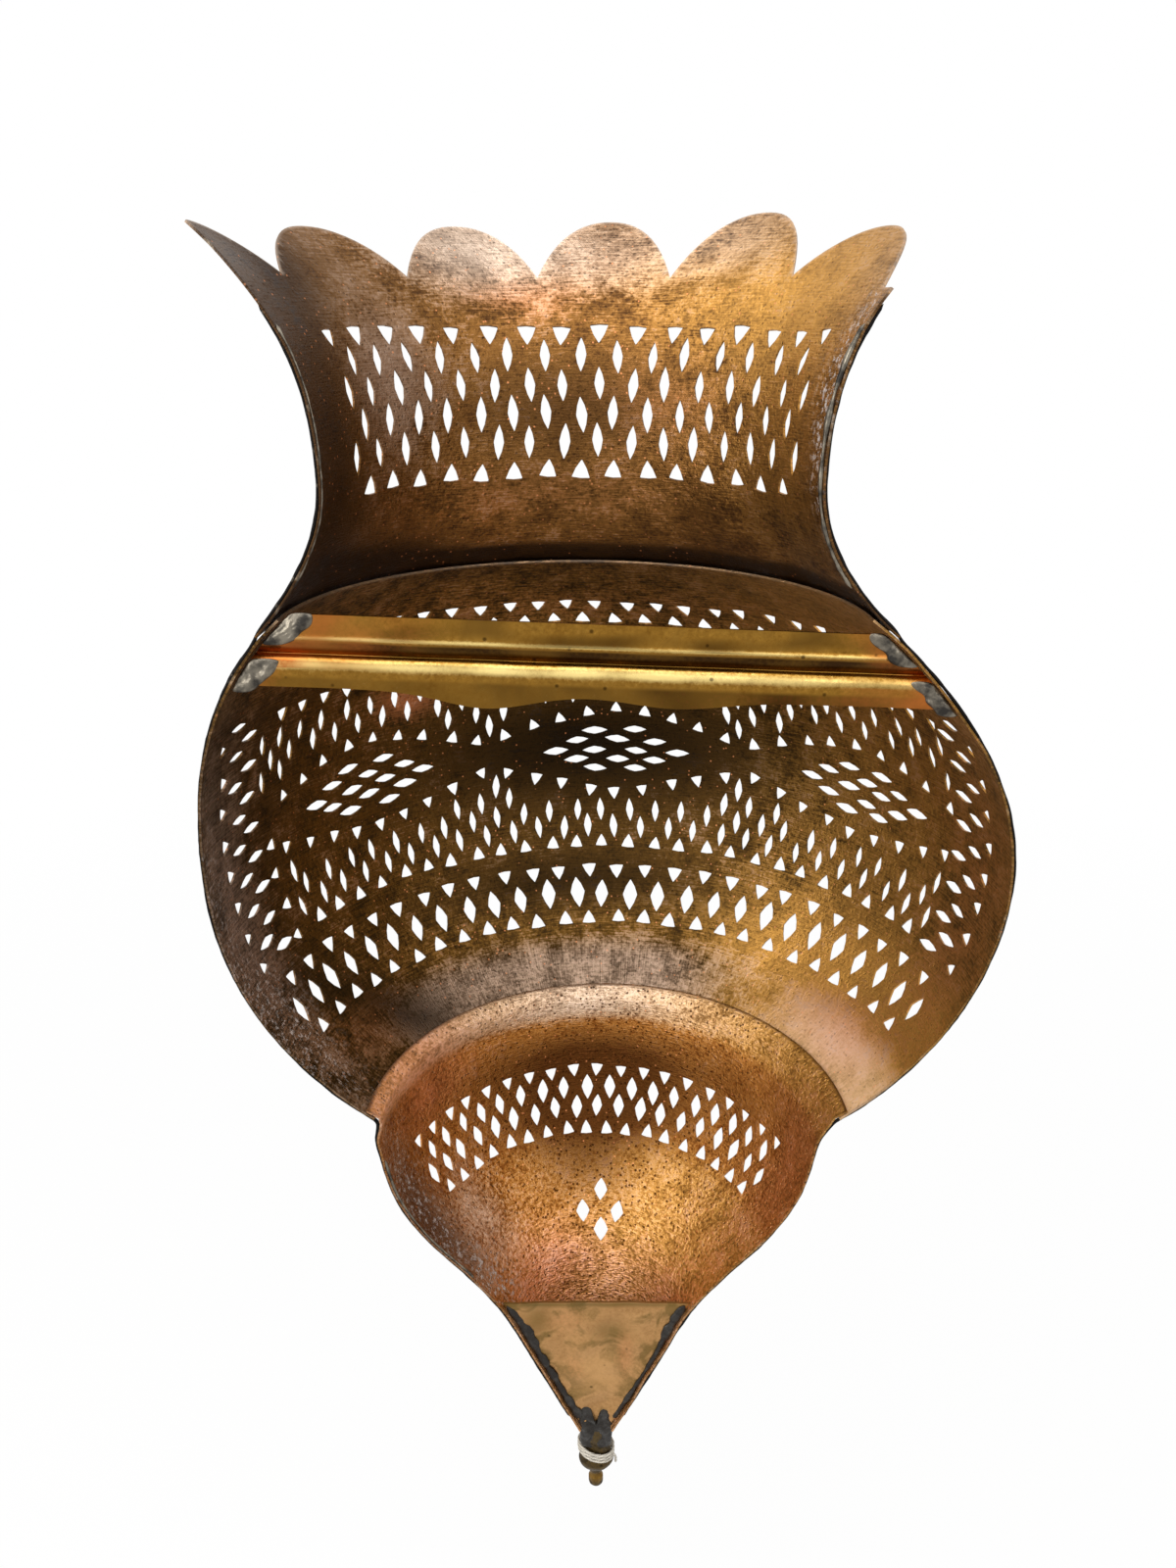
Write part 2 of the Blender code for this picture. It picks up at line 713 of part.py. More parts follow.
def add_bar_solder(name, side, top, bottom, widths):
    """Rounded lump of solder on one end of a flange, out to the globe's face."""
    rows = len(widths)
    outer = []
    inner = []
    for row, width in enumerate(widths):
        across = top + (bottom - top) * row / (rows - 1)
        outer.append(bar_point(bar_end(side, across, LAP_GAP + LUMP_EDGE), across, 0.0))
        inner.append(bar_point(bar_end(side, across, LAP_GAP + width), across, 0.0))
    loop = outer + list(reversed(inner))
    corners = [(point.x, point.z) for point in loop]
    thickness = 2 * (LUMP_EDGE + LUMP_CORE / 2)
    middle = -BAR_RECESS + SEAT_GAP + thickness / 2
    add_plate(name, corners, thickness, middle, GREY_SOLDER, LUMP_EDGE)


def side_line(radius_at, side, heights, lift, depth):
    """Points along a shell's back edge, off its inner face by lift and behind the wall plane."""

    def reach(height):
        return radius_at(height) + side * axis_shift(height)

    line = []
    for height in heights:
        slope = slope_of(reach, height)
        out = lift / math.hypot(1.0, slope)
        line.append(Vector((side * (reach(height) + out), -depth, height - out * slope)))
    return line


def stepped(high, low, step):
    """Heights from high to low, about one step apart, both ends in."""
    count = max(1, round((high - low) / step))
    return [high + (low - high) * i / count for i in range(count + 1)]


def add_edge_wire(name, side):
    """Wire soldered along the whole back edge, over the laps from crown to point."""
    lift = SHEET + SEAT_GAP + WIRE_RADIUS
    step_over = 5 * WIRE_RADIUS
    crown = stepped(MOUTH_HEIGHT - WIRE_TOP_DROP, SKIRT_HEIGHT, EDGE_STEP)
    globe = stepped(SKIRT_HEIGHT - step_over, HIP_HEIGHT + step_over / 2, EDGE_STEP)
    bowl = stepped(HIP_HEIGHT - step_over, CONE_END_HEIGHT + WIRE_END_RISE, EDGE_STEP)
    line = side_line(crown_radius, side, crown, lift, WIRE_RADIUS)
    line += side_line(globe_radius, side, globe, lift, WIRE_RADIUS)
    line += side_line(bowl_radius, side, bowl, lift, WIRE_RADIUS)
    add_tube(name, line, WIRE_RADIUS, IRON)


def add_edge_bead(name, radius_at, side, low, high):
    """Thin line of solder inside a shell's back edge."""
    lift = -(LAP_GAP + BEAD_RADIUS)
    line = side_line(radius_at, side, stepped(high, low, EDGE_STEP), lift, BEAD_RADIUS)
    add_tube(name, line, BEAD_RADIUS, GREY_SOLDER)


def add_seam_bead(name, radius_at, outer_radius_at, edge_height):
    """Fillet of solder round the outside of a lap, close under the outer shell's edge."""
    lift = SHEET + LAP_GAP + SEAM_BEAD_RADIUS
    edge = [on_shell(outer_radius_at, 0.0, edge_height, wall) for wall in (0.0, SHEET)]
    clear = SEAM_BEAD_RADIUS + LAP_GAP
    foot = edge_height
    while min((on_shell(radius_at, 0.0, foot, lift) - corner).length for corner in edge) < clear:
        foot -= SEAM_STEP
    angles = [angle for angle in even_angles() if abs(angle) <= SEAM_END_ANGLE]
    line = [on_shell(radius_at, angle, foot, lift) for angle in angles]
    add_tube(name, line, SEAM_BEAD_RADIUS, GREY_SOLDER)


def plate_half_width(height, room):
    """Half width that fits inside the bowl at the plate's depth with room to spare."""
    depth = PLATE_RECESS + PLATE_THICKNESS
    return math.sqrt(bowl_radius(height) ** 2 - depth**2) - room


def add_tip_plate():
    """Flat plate that closes the back of the bowl's point."""
    heights = stepped(PLATE_TOP_HEIGHT, PLATE_END_HEIGHT, ROW_STEP)
    corners = [(-plate_half_width(height, LAP_GAP), height) for height in heights]
    corners += [(plate_half_width(height, LAP_GAP), height) for height in reversed(heights)]
    middle = -PLATE_RECESS - PLATE_THICKNESS / 2
    add_plate("tip_plate", corners, PLATE_THICKNESS, middle, DULL_BRASS)


def add_tip_bead(name, side):
    """Black solder down one side of the plate, in its corner with the bowl."""
    room = LAP_GAP + BEAD_RADIUS
    depth = PLATE_RECESS - SEAT_GAP - BEAD_RADIUS
    line = []
    for height in stepped(PLATE_TOP_HEIGHT, PLATE_END_HEIGHT, ROW_STEP):
        line.append(Vector((side * plate_half_width(height, room), -depth, height)))
    add_tube(name, line, BEAD_RADIUS, BLACK_SOLDER)


def add_root_solder():
    """Black lump that joins the plate's end to the finial's collar."""
    thickness = 2 * (LUMP_EDGE + LUMP_CORE / 2)
    low = CONE_END_HEIGHT + LUMP_EDGE
    high = PLATE_END_HEIGHT + 1.2 * FINIAL_COLLAR_RADIUS
    half = CONE_END_RADIUS - 3 * LUMP_EDGE
    corners = []
    for turn in range(0, 360, 30):
        x = half * math.cos(math.radians(turn))
        rise = 0.5 * (high - low) * (1 + math.sin(math.radians(turn)))
        corners.append((x, low + rise))
    middle = -PLATE_RECESS + SEAT_GAP + thickness / 2
    add_plate("root_solder", corners, thickness, middle, BLACK_SOLDER, LUMP_EDGE)


def twine_reach():
    """Distance of the twine's middle from the finial's axis along X."""
    return FINIAL_NECK_RADIUS + SEAT_GAP + TWINE_RADIUS


def finial_setback():
    """Distance of the finial's axis from the wall, so that the twine stays off it."""
    neck_depth = FINIAL_NECK_RADIUS * FINIAL_DEPTH_RATIO
    knob_depth = FINIAL_KNOB_RADIUS * FINIAL_DEPTH_RATIO
    return max(neck_depth + SEAT_GAP + 2 * TWINE_RADIUS, knob_depth) + SEAT_GAP


def add_finial():
    """Turned finial: collar, neck, knob, pin and end knob, flattened towards the wall."""
    top = on_shell(bowl_radius, 0.0, CONE_END_HEIGHT, SHEET).z - SEAT_GAP
    neck_top = FINIAL_NECK_HEIGHT + FINIAL_NECK_HALF
    neck_foot = FINIAL_NECK_HEIGHT - FINIAL_NECK_HALF
    outline = (
        (0.0, top),
        (FINIAL_COLLAR_RADIUS, top),
        ((FINIAL_COLLAR_RADIUS + 3 * FINIAL_NECK_RADIUS) / 4, (top + neck_top) / 2),
        (FINIAL_NECK_RADIUS, neck_top),
        (FINIAL_NECK_RADIUS, neck_foot),
        (FINIAL_KNOB_RADIUS, FINIAL_KNOB_HEIGHT),
        ((FINIAL_KNOB_RADIUS + FINIAL_PIN_RADIUS) / 2, (FINIAL_KNOB_HEIGHT + FINIAL_PIN_HEIGHT) / 2),
        (FINIAL_PIN_RADIUS, FINIAL_PIN_HEIGHT),
        (FINIAL_TIP_RADIUS, FINIAL_TIP_HEIGHT),
        (FINIAL_TIP_RADIUS, FINIAL_TIP_HEIGHT / 3),
        (0.7 * FINIAL_TIP_RADIUS, 0.0),
        (0.0, 0.0),
    )
    mesh = bpy.data.meshes.new("finial")
    shape = [(radius, 0.0, height) for radius, height in outline]
    mesh.from_pydata(shape, [(i, i + 1) for i in range(len(shape) - 1)], [])
    finial = add_part("finial", mesh, BRONZE)
    finial.location = (0.0, -finial_setback(), 0.0)
    finial.scale = (1.0, FINIAL_DEPTH_RATIO, 1.0)
    turned = finial.modifiers.new("turned", "SCREW")
    turned.steps = FINIAL_SIDES
    turned.render_steps = FINIAL_SIDES
    turned.use_merge_vertices = True
    turned.merge_threshold = 0.00005
    turned.use_smooth_shade = True


def twine_points():
    """Loops that climb down the neck, then a short tail that hangs clear of the knob."""
    across = twine_reach()
    deep = FINIAL_NECK_RADIUS * FINIAL_DEPTH_RATIO + SEAT_GAP + TWINE_RADIUS
    start = FINIAL_NECK_HEIGHT + TWINE_PITCH * TWINE_LOOPS / 2
    points = []
    for i in range(TWINE_LOOPS * TWINE_LOOP_POINTS + 1):
        loops = i / TWINE_LOOP_POINTS
        turn = 2 * math.pi * loops
        x = -across * math.cos(turn)
        y = -finial_setback() - deep * math.sin(turn)
        points.append(Vector((x, y, start - TWINE_PITCH * loops)))
    knob_clear = FINIAL_KNOB_RADIUS + 2 * SEAT_GAP + TWINE_RADIUS
    end = points[-1]
    for i in range(1, TWINE_TAIL_POINTS + 1):
        share = i / TWINE_TAIL_POINTS
        x = end.x - (knob_clear - across) * min(1.0, 2 * share)
        points.append(Vector((x, end.y - 0.3 * TWINE_TAIL * share, end.z - TWINE_TAIL * share)))
    return points


def least_gap(points, radius, apart):
    """Least clear distance between stretches of one tube more than apart points from each other."""
    nearest = min(
        (points[i] - points[j]).length
        for i in range(len(points))
        for j in range(i + apart, len(points))
    )
    return nearest - 2 * radius


def add_tag_twine():
    """Thin twine wound round the finial's neck, in one unbroken length."""
    points = twine_points()
    gap = least_gap(points, TWINE_RADIUS, TWINE_LOOP_POINTS // 2)
    print(f"twine: least gap to itself {gap * 1000:.2f} mm")
    add_tube("tag_twine", points, TWINE_RADIUS, TWINE)


# Finishes: colour, metallic and roughness
BROWN_BRASS = ((0.17, 0.09, 0.04), 1.0, 0.45)
OLIVE_BRASS = ((0.14, 0.08, 0.03), 1.0, 0.45)
COPPER_BRASS = ((0.38, 0.19, 0.07), 1.0, 0.40)
BRIGHT_BRASS = ((0.55, 0.36, 0.09), 1.0, 0.28)
DULL_BRASS = ((0.42, 0.28, 0.11), 1.0, 0.45)
BRONZE = ((0.09, 0.07, 0.05), 1.0, 0.50)
IRON = ((0.06, 0.055, 0.05), 0.8, 0.55)
GREY_SOLDER = ((0.25, 0.25, 0.24), 0.9, 0.45)
BLACK_SOLDER = ((0.03, 0.028, 0.026), 0.6, 0.55)
TWINE = ((0.70, 0.66, 0.58), 0.0, 0.90)

for leftover in list(bpy.data.objects):
    bpy.data.objects.remove(leftover, do_unlink=True)

parts = bpy.data.collections.new(OBJECT_NAME)
bpy.context.scene.collection.children.link(parts)
origin = bpy.data.objects.new("hanging_point", None)
origin.location = (0.0, 0.0, -BAR_HEIGHT)
parts.objects.link(origin)

add_pierced_shell(
    "crown_shell",
    crown_radius,
    SKIRT_HEIGHT,
    scallop_edge,
    scallop_angles(),
    crown_openings(),
    BROWN_BRASS,
)
add_pierced_shell(
    "globe_shell",
    globe_radius,
    HIP_HEIGHT,
    lambda angle: SKIRT_HEIGHT + RIM_RISE,
    even_angles(),
    globe_openings(),
    OLIVE_BRASS,
)
add_pierced_shell(
    "bowl_shell",
    bowl_radius,
    CONE_END_HEIGHT,
    lambda angle: HIP_HEIGHT + LIP_RISE,
    even_angles(),
    bowl_openings(),
    COPPER_BRASS,
    (NECK_HEIGHT, (NECK_HEIGHT + HIP_HEIGHT) / 2, HIP_HEIGHT),
)
add_hanging_bar()
upper_flange = (BAR_WIDTH / 2, GROOVE_OFFSET + GROOVE_WIDTH / 2)
lower_flange = (GROOVE_OFFSET - GROOVE_WIDTH / 2, -BAR_WIDTH / 2)
add_bar_solder("bar_solder_upper_right", 1, *upper_flange, (0.007, 0.012, 0.013, 0.008))
add_bar_solder("bar_solder_lower_right", 1, *lower_flange, (0.006, 0.011, 0.010, 0.005))
add_bar_solder("bar_solder_upper_left", -1, *upper_flange, (0.005, 0.010, 0.010, 0.008))
add_bar_solder("bar_solder_lower_left", -1, *lower_flange, (0.011, 0.013, 0.008, 0.006))
add_edge_wire("edge_wire_right", 1)
add_edge_wire("edge_wire_left", -1)
crown_span = (SKIRT_HEIGHT + CROWN_BEAD_RISE, MOUTH_HEIGHT - CROWN_BEAD_DROP)
add_edge_bead("crown_solder_right", crown_radius, 1, *crown_span)
add_edge_bead("crown_solder_left", crown_radius, -1, *crown_span)
bowl_span = (PLATE_TOP_HEIGHT + BOWL_BEAD_RISE, HIP_HEIGHT - BOWL_BEAD_DROP)
add_edge_bead("bowl_solder_right", bowl_radius, 1, *bowl_span)
add_seam_bead("shoulder_solder", globe_radius, crown_radius, SKIRT_HEIGHT)
add_seam_bead("hip_solder", bowl_radius, globe_radius, HIP_HEIGHT)
add_tip_plate()
add_tip_bead("tip_solder_right", 1)
add_tip_bead("tip_solder_left", -1)
add_root_solder()
add_finial()
add_tag_twine()
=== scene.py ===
"""Finished surfaces of a half-round wall sconce of pierced sheet brass.

The three shells, the bar, the plate, the finial, the wires, the solder and the twine are
worked out as arrays from the same profiles as the solids that they stand for. Heights are
measured up from the finial's end, angles in degrees from -90 at the shells' -X back edge
through 0 at the front to 90 at the +X back edge, and sizes in metres.
"""

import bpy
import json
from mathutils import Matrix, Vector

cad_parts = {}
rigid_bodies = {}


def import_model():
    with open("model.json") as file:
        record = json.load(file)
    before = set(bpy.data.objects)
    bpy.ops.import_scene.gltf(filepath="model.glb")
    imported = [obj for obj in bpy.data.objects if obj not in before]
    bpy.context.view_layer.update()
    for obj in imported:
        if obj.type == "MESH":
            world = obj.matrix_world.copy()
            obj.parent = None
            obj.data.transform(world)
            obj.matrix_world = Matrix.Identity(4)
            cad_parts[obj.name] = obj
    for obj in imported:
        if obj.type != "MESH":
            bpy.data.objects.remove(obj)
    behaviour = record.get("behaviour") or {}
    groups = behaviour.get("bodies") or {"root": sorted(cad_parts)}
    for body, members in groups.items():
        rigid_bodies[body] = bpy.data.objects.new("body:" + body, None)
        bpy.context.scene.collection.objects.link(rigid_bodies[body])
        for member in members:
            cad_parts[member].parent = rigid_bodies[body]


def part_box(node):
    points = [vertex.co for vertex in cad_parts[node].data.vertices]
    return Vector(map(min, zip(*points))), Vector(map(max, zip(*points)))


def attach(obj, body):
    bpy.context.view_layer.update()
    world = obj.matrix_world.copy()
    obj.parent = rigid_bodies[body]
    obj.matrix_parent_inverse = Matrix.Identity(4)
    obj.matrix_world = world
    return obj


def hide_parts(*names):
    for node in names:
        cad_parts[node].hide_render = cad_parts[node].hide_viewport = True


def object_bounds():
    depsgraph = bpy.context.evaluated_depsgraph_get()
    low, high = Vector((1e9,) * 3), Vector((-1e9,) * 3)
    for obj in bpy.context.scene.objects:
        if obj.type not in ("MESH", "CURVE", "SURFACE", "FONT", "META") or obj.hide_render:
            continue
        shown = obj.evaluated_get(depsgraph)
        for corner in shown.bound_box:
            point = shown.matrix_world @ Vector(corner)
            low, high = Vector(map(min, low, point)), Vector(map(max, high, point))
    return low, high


bl_info = {
    "name": "Pierced Wall Sconce",
    "version": (1, 0, 0),
    "blender": (4, 5, 0),
    "location": "View3D > Sidebar > Sconce",
    "description": "Builds the finished surfaces of a half-round wall sconce of pierced brass",
    "category": "Add Mesh",
}

import json
import math
import random

import bpy
import numpy as np
from mathutils import Vector
from mathutils.geometry import delaunay_2d_cdt

for leftover in list(bpy.data.objects):
    bpy.data.objects.remove(leftover, do_unlink=True)
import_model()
CAD_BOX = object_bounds()
FOOT = CAD_BOX[0].z

# Shape of the profiles between their named heights and radii
SKIRT_POWER = 1.98
MOUTH_POWER = 2.5
BELLY_SHIFT = -0.0036
CROWN_SHIFT = 0.0084
LEAN_RISE = 0.026
CONE_END = (0.040, 0.0064)
BOWL_DROPS = ((0.096, 0.0366), (0.078, 0.0490), (0.055, 0.0675))
BOWL_INSETS = ((0.035, 0.0069), (0.012, 0.0022))
LIP_RISE = 0.0035

# Hand-cut scallops: the angles where lobes meet, and each lobe's own rise past the mouth
SCALLOP_MEETS = (-82.0, -50.0, -21.0, 8.0, 37.0, 70.5, 109.5)
SCALLOP_RISES = (-0.003, 0.004, 0.002, 0.0, -0.002, -0.004)
SCALLOP_DEPTH = 0.017
SCALLOP_POWER = 2.2
SCALLOP_FALL = 0.3

# Chisel cuts: how far a hand wanders, how a cut's sides swell and its corners are blunted
CUT_SEED = 11
CUT_WANDER_ANGLE = 0.45
CUT_WANDER_HEIGHT = 0.0006
CUT_WANDER_TILT = 6.0
CUT_WANDER_SIZE = 0.08
CUT_SWELL = 0.05
CUT_BLUNT = 0.04
CUT_MARGIN = 0.0010

# Layout of the cuts: steps and drops in metres, columns as count, pitch and turn in degrees
CROWN_BAND_DROP = 0.0565
CROWN_ROW_STEP = 0.0095
CROWN_COLUMNS = (16, 9.07, -1.7)
CROWN_DIAMOND = (0.0037, 0.0118)
CROWN_TRIANGLE = (0.0062, 0.0062)
CROWN_NOTCH_ROWS = (2.2, -2.5)
GLOBE_TURN = -2.4
FRIEZE_DROP = 0.0200
FRIEZE_COLUMNS = (25, 6.1, GLOBE_TURN)
FRIEZE_TRIANGLE = (0.0060, 0.0058)
FRIEZE_REACH = 0.62
FIELD_DROP = 0.0012
FIELD_COLUMNS = (27, 5.2, GLOBE_TURN)
FIELD_ROWS = 11
FIELD_ROW_STEP = 0.0070
FIELD_TOP = 0.0438
FIELD_FOOT = 0.0412
FIELD_DIAMOND = (0.0033, 0.0106)
FIELD_TRIANGLE = (0.0055, 0.0055)
MEDALLION_PITCH = 48.5
MEDALLION_ROWS = (2, 3, 4, 3, 2)
MEDALLION_ROW_STEP = 0.0046
MEDALLION_STEP = 7.5
MEDALLION_DIAMOND = (0.0114, 0.0037)
LENS_HEIGHT = 0.0205
LENS_TIP = 0.0070
LENS_POWER = 1.4
LENS_CLEAR = (0.0080, 0.0050)
LENS_TRIANGLE = (0.0051, 0.0051)
SIDE_ANGLES = (81.0, 77.2, 73.8)
SIDE_ROWS = 8
SIDE_STEP = 0.0122
SIDE_INNER = (69.4, 4)
FIELD_EXTRA = (70.2, 67.7)
BAND_DROP = 0.0637
BAND_REACH = 0.0084
BAND_COLUMNS = (27, 6.1, 0.0)
BAND_DIAMOND = (0.0060, 0.0130)
BAND_TRIANGLE = (0.0062, 0.0058)
BOWL_BAND_DROP = 0.0448
BOWL_ROW_STEP = 0.0078
BOWL_COLUMNS = (19, 7.6, -0.5)
BOWL_DIAMOND = (0.0047, 0.0102)
BOWL_TRIANGLE = (0.0050, 0.0054)
BOWL_NOTCH_ROWS = (1.3, -1.4)
MOTIF_ANGLE = -2.5
MOTIF_DROP = 0.0835
MOTIF_REACH = (0.0074, 0.0064)
MOTIF_DIAMOND = (0.0058, 0.0096)

# Mesh fineness and dents of the shells, and the waves of every ripple
SHELL_GRID = 0.0029
GRID_ROW_SHARE = 0.87
GRID_ROOM = 0.6
EDGE_ROW = 0.0009
EDGE_ROOM = 0.4
SHARP_ANGLE = 40.0
RIPPLE_WAVES = 14
DENT_SIZE = 0.034
DENT_DEPTH = 0.00024
DENT_FADE = 0.010

# Marks of wear and of painted shade and light on the shells, and how much of some of them shows on the
# outer face
MARKS = ("gold", "copper", "bloom", "polish", "soot", "bare", "tin", "oxide", "drawn", "matt")
OUTER_SHARE = {"soot": 0.25, "oxide": 0.2, "gold": 0.6, "copper": 0.6, "polish": 0.7, "bloom": 0.5}

# Bar: a wall from a ridge down to a crease, a quarter roll below it, and the reach of heat by +X and -X
BAR_TILT = 2.1
BAR_RECESS = 0.0018
BAR_SHEET = 0.0010
BAR_END_GAP = 0.0009
BAR_LOBES = ((0.036, 0.0050), (-0.026, 0.0030))
BAR_LOBE_SPREAD = 0.020
BAR_DENT = 0.00010
BAR_MESH = (150, 120)
BAR_HEAT_ABOVE = (0.036, 0.012)
BAR_HEAT_BELOW = (0.010, 0.026)
RIDGE = (0.0042, 0.0009, 0.0005)
GROOVE_TOP = 0.0036
GROOVE_CREASE = -0.0017
GROOVE_FOOT = -0.0056
GROOVE_DEPTH = 0.0030

# Solder at the bar's ends: side, upper and lower limit, and widths in from the shell
LUMP_REACH = 0.0006
LUMP_SINK = 0.0001
LUMP_RISE = 0.0014
PUDDLE_RINGS = 14
UPPER_FLANGE = (0.0125, 0.0015)
LOWER_FLANGE = (-0.0028, -0.0145)
LUMPS = {
    "bar_solder_upper_right": (1, UPPER_FLANGE, (0.0048, 0.0066, 0.0078, 0.0070, 0.0078, 0.0055)),
    "bar_solder_lower_right": (1, LOWER_FLANGE, (0.0075, 0.0085, 0.0090, 0.0080, 0.0070, 0.0060)),
    "bar_solder_upper_left": (-1, UPPER_FLANGE, (0.0035, 0.0055, 0.0060, 0.0050, 0.0070, 0.0055)),
    "bar_solder_lower_left": (-1, LOWER_FLANGE, (0.0060, 0.0070, 0.0055, 0.0070, 0.0060, 0.0065)),
}

# Plate, wires and beads: shares of a radius from least to most, widths of a tip bead from its top down
PLATE_RECESS = 0.0020
PLATE_THICKNESS = 0.0010
PLATE_END_HEIGHT = 0.0425
PLATE_BOW = 0.0007
PLATE_DENT = 0.00018
PLATE_MESH = (70, 60)
WIRE_TOP_DROP = 0.025
WIRE_END_RISE = 0.008
WIRE_STEP_OVER = 0.0014
WIRE_BED = 0.3
WIRE_SHARES = (0.55, 0.70, 0.9)
WIRE_STEP = 0.0016
BEAD_RADIUS = 0.0008
BEAD_SHARES = (0.45, 1.35)
BEAD_STEP = 0.0012
SEAM_BEAD_RADIUS = 0.0010
SEAM_END_ANGLE = 82.5
CROWN_BEAD = (0.016, 0.031)
BOWL_BEAD = (0.015, 0.020)
TIP_BEAD_ENDS = (0.001, 0.003)
TIP_BEAD_OUT = 0.0002
TIP_BEAD_RISE = 0.0007
TIP_BEADS = (
    ("tip_solder_right", 1, (0.0013, 0.0022, 0.0017, 0.0019, 0.0016, 0.0020)),
    ("tip_solder_left", -1, (0.0022, 0.0018, 0.0009, 0.0008, 0.0010, 0.0014)),
)
ROOT_SINK = 0.0008
ROOT_RISE = 0.0020
ROOT_OUTLINE = (
    (-0.0062, 0.0275), (0.0000, 0.0265), (0.0062, 0.0275), (0.0070, 0.0330), (0.0066, 0.0380),
    (0.0086, 0.0430), (0.0080, 0.0490), (0.0052, 0.0530), (0.0018, 0.0505), (0.0016, 0.0455),
    (0.0006, 0.0425), (-0.0010, 0.0450), (-0.0012, 0.0490), (-0.0038, 0.0515), (-0.0062, 0.0490),
    (-0.0060, 0.0450), (-0.0078, 0.0415), (-0.0070, 0.0370), (-0.0066, 0.0330),
)

# Finial, flattened a little towards the wall, and the twine round its neck
FINIAL_DEPTH_RATIO = 0.8
FINIAL_NECK_RADIUS = 0.0066
FINIAL_NECK_HEIGHT = 0.0230
FINIAL_KNOB_RADIUS = 0.0075
FINIAL_WOBBLE = 0.018
FINIAL_MESH = (110, 44)
FINIAL_KNOTS = (
    (0.0000, 0.0021), (0.0006, 0.0029), (0.0022, 0.0032), (0.0048, 0.0032), (0.0062, 0.0028),
    (0.0076, 0.0025), (0.0098, 0.0034), (0.0150, 0.0073), (0.0162, FINIAL_KNOB_RADIUS),
    (0.0178, 0.0072), (0.0200, FINIAL_NECK_RADIUS), (0.0260, FINIAL_NECK_RADIUS),
    (0.0330, 0.0069), (0.0390, 0.0072),
)
TWINE_LOOPS = 3
TWINE_PITCH = 0.0017
TWINE_TAIL = 0.009
TWINE_TILT = 0.26
TWINE_PLIES = 3
TWINE_LAY = 0.0034
TWINE_SIDES = 18
TWINE_STEP = 0.00035
TWINE_PLY = (0.80, 0.22)

# Camera at the photograph's viewing angle, for a frame 1200 by 1600
CAMERA_PLACE = (0.0035, 0.35946, 0.1047)
CAMERA_PITCH = 22.1
CAMERA_LENS = 27.0
CAMERA_SENSOR = 36.0
CAMERA_NEAR = 0.01

# Stage: a floor well below the finial, lights as name, place, width and power, and the world
FLOOR_DROP = 0.22
FLOOR_HALF = 4.0
FLOOR_FADE = (0.5, 1.6)
FLOOR_WHITE = 0.94
LIGHTS = (
    ("overhead", (0.18, 0.35, 1.20), 1.3, 14.0),
    ("front", (0.90, 0.80, 0.30), 0.9, 8.0),
    ("fill", (-0.55, 0.65, 0.45), 0.8, 3.0),
)
LIGHT_AIM = (0.0, -0.06, -0.05)
WORLD_LEVEL = 0.45
WHITE = (1.0, 1.0, 1.0, 1.0)


def linear(code):
    """Linear RGB of an sRGB hex colour."""
    parts = np.array([int(code[i : i + 2], 16) for i in (1, 3, 5)]) / 255
    low, high = parts / 12.92, ((parts + 0.055) / 1.055) ** 2.4
    return tuple(np.where(parts <= 0.04045, low, high).tolist())


def length(name, default, description):
    """Property of one size in metres."""
    return bpy.props.FloatProperty(
        name=name, description=description, default=default, unit="LENGTH", precision=4
    )


def colour(name, code, description):
    """Property of one colour, given as sRGB hex."""
    return bpy.props.FloatVectorProperty(
        name=name, description=description, default=linear(code), subtype="COLOR", min=0, max=1
    )


class SconceSizes(bpy.types.PropertyGroup):
    """Sizes of the shells and of what is soldered to them."""

    sheet: length("Sheet", 0.0008, "Wall of the three shells")
    lap_gap: length("Lap gap", 0.0005, "Clearance where two shells lap")
    seat_gap: length("Seat gap", 0.0003, "Clearance under wires and solder")
    belly_radius: length("Belly radius", 0.1374, "Inner radius of the globe at its widest")
    belly_height: length("Belly height", 0.2992, "Height of the globe's widest ring")
    globe_half_height: length("Globe half height", 0.1252, "Half height of the globe's ellipse")
    hip_height: length("Hip height", 0.202, "Lower edge of the globe")
    rim_height: length("Rim height", 0.3915, "Upper edge of the globe, inside the crown")
    skirt_height: length("Skirt height", 0.386, "Lower edge of the crown")
    waist_height: length("Waist height", 0.4346, "Height of the crown's narrowest ring")
    waist_radius: length("Waist radius", 0.0750, "Inner radius of the crown at its waist")
    mouth_height: length("Mouth height", 0.509, "Height at which the mouth's radius is measured")
    mouth_radius: length("Mouth radius", 0.1107, "Inner radius of the crown at its mouth")
    bar_height: length("Bar height", -FOOT, "Middle of the hanging bar")
    bar_width: length("Bar width", 0.024, "Width of the hanging bar without its lobes")
    plate_top_height: length("Plate top", 0.109, "Upper edge of the tip plate")
    wire_radius: length("Wire radius", 0.0009, "Radius of the wire along the back edges")
    twine_radius: length("Twine radius", 0.0006, "Radius of the tag twine")


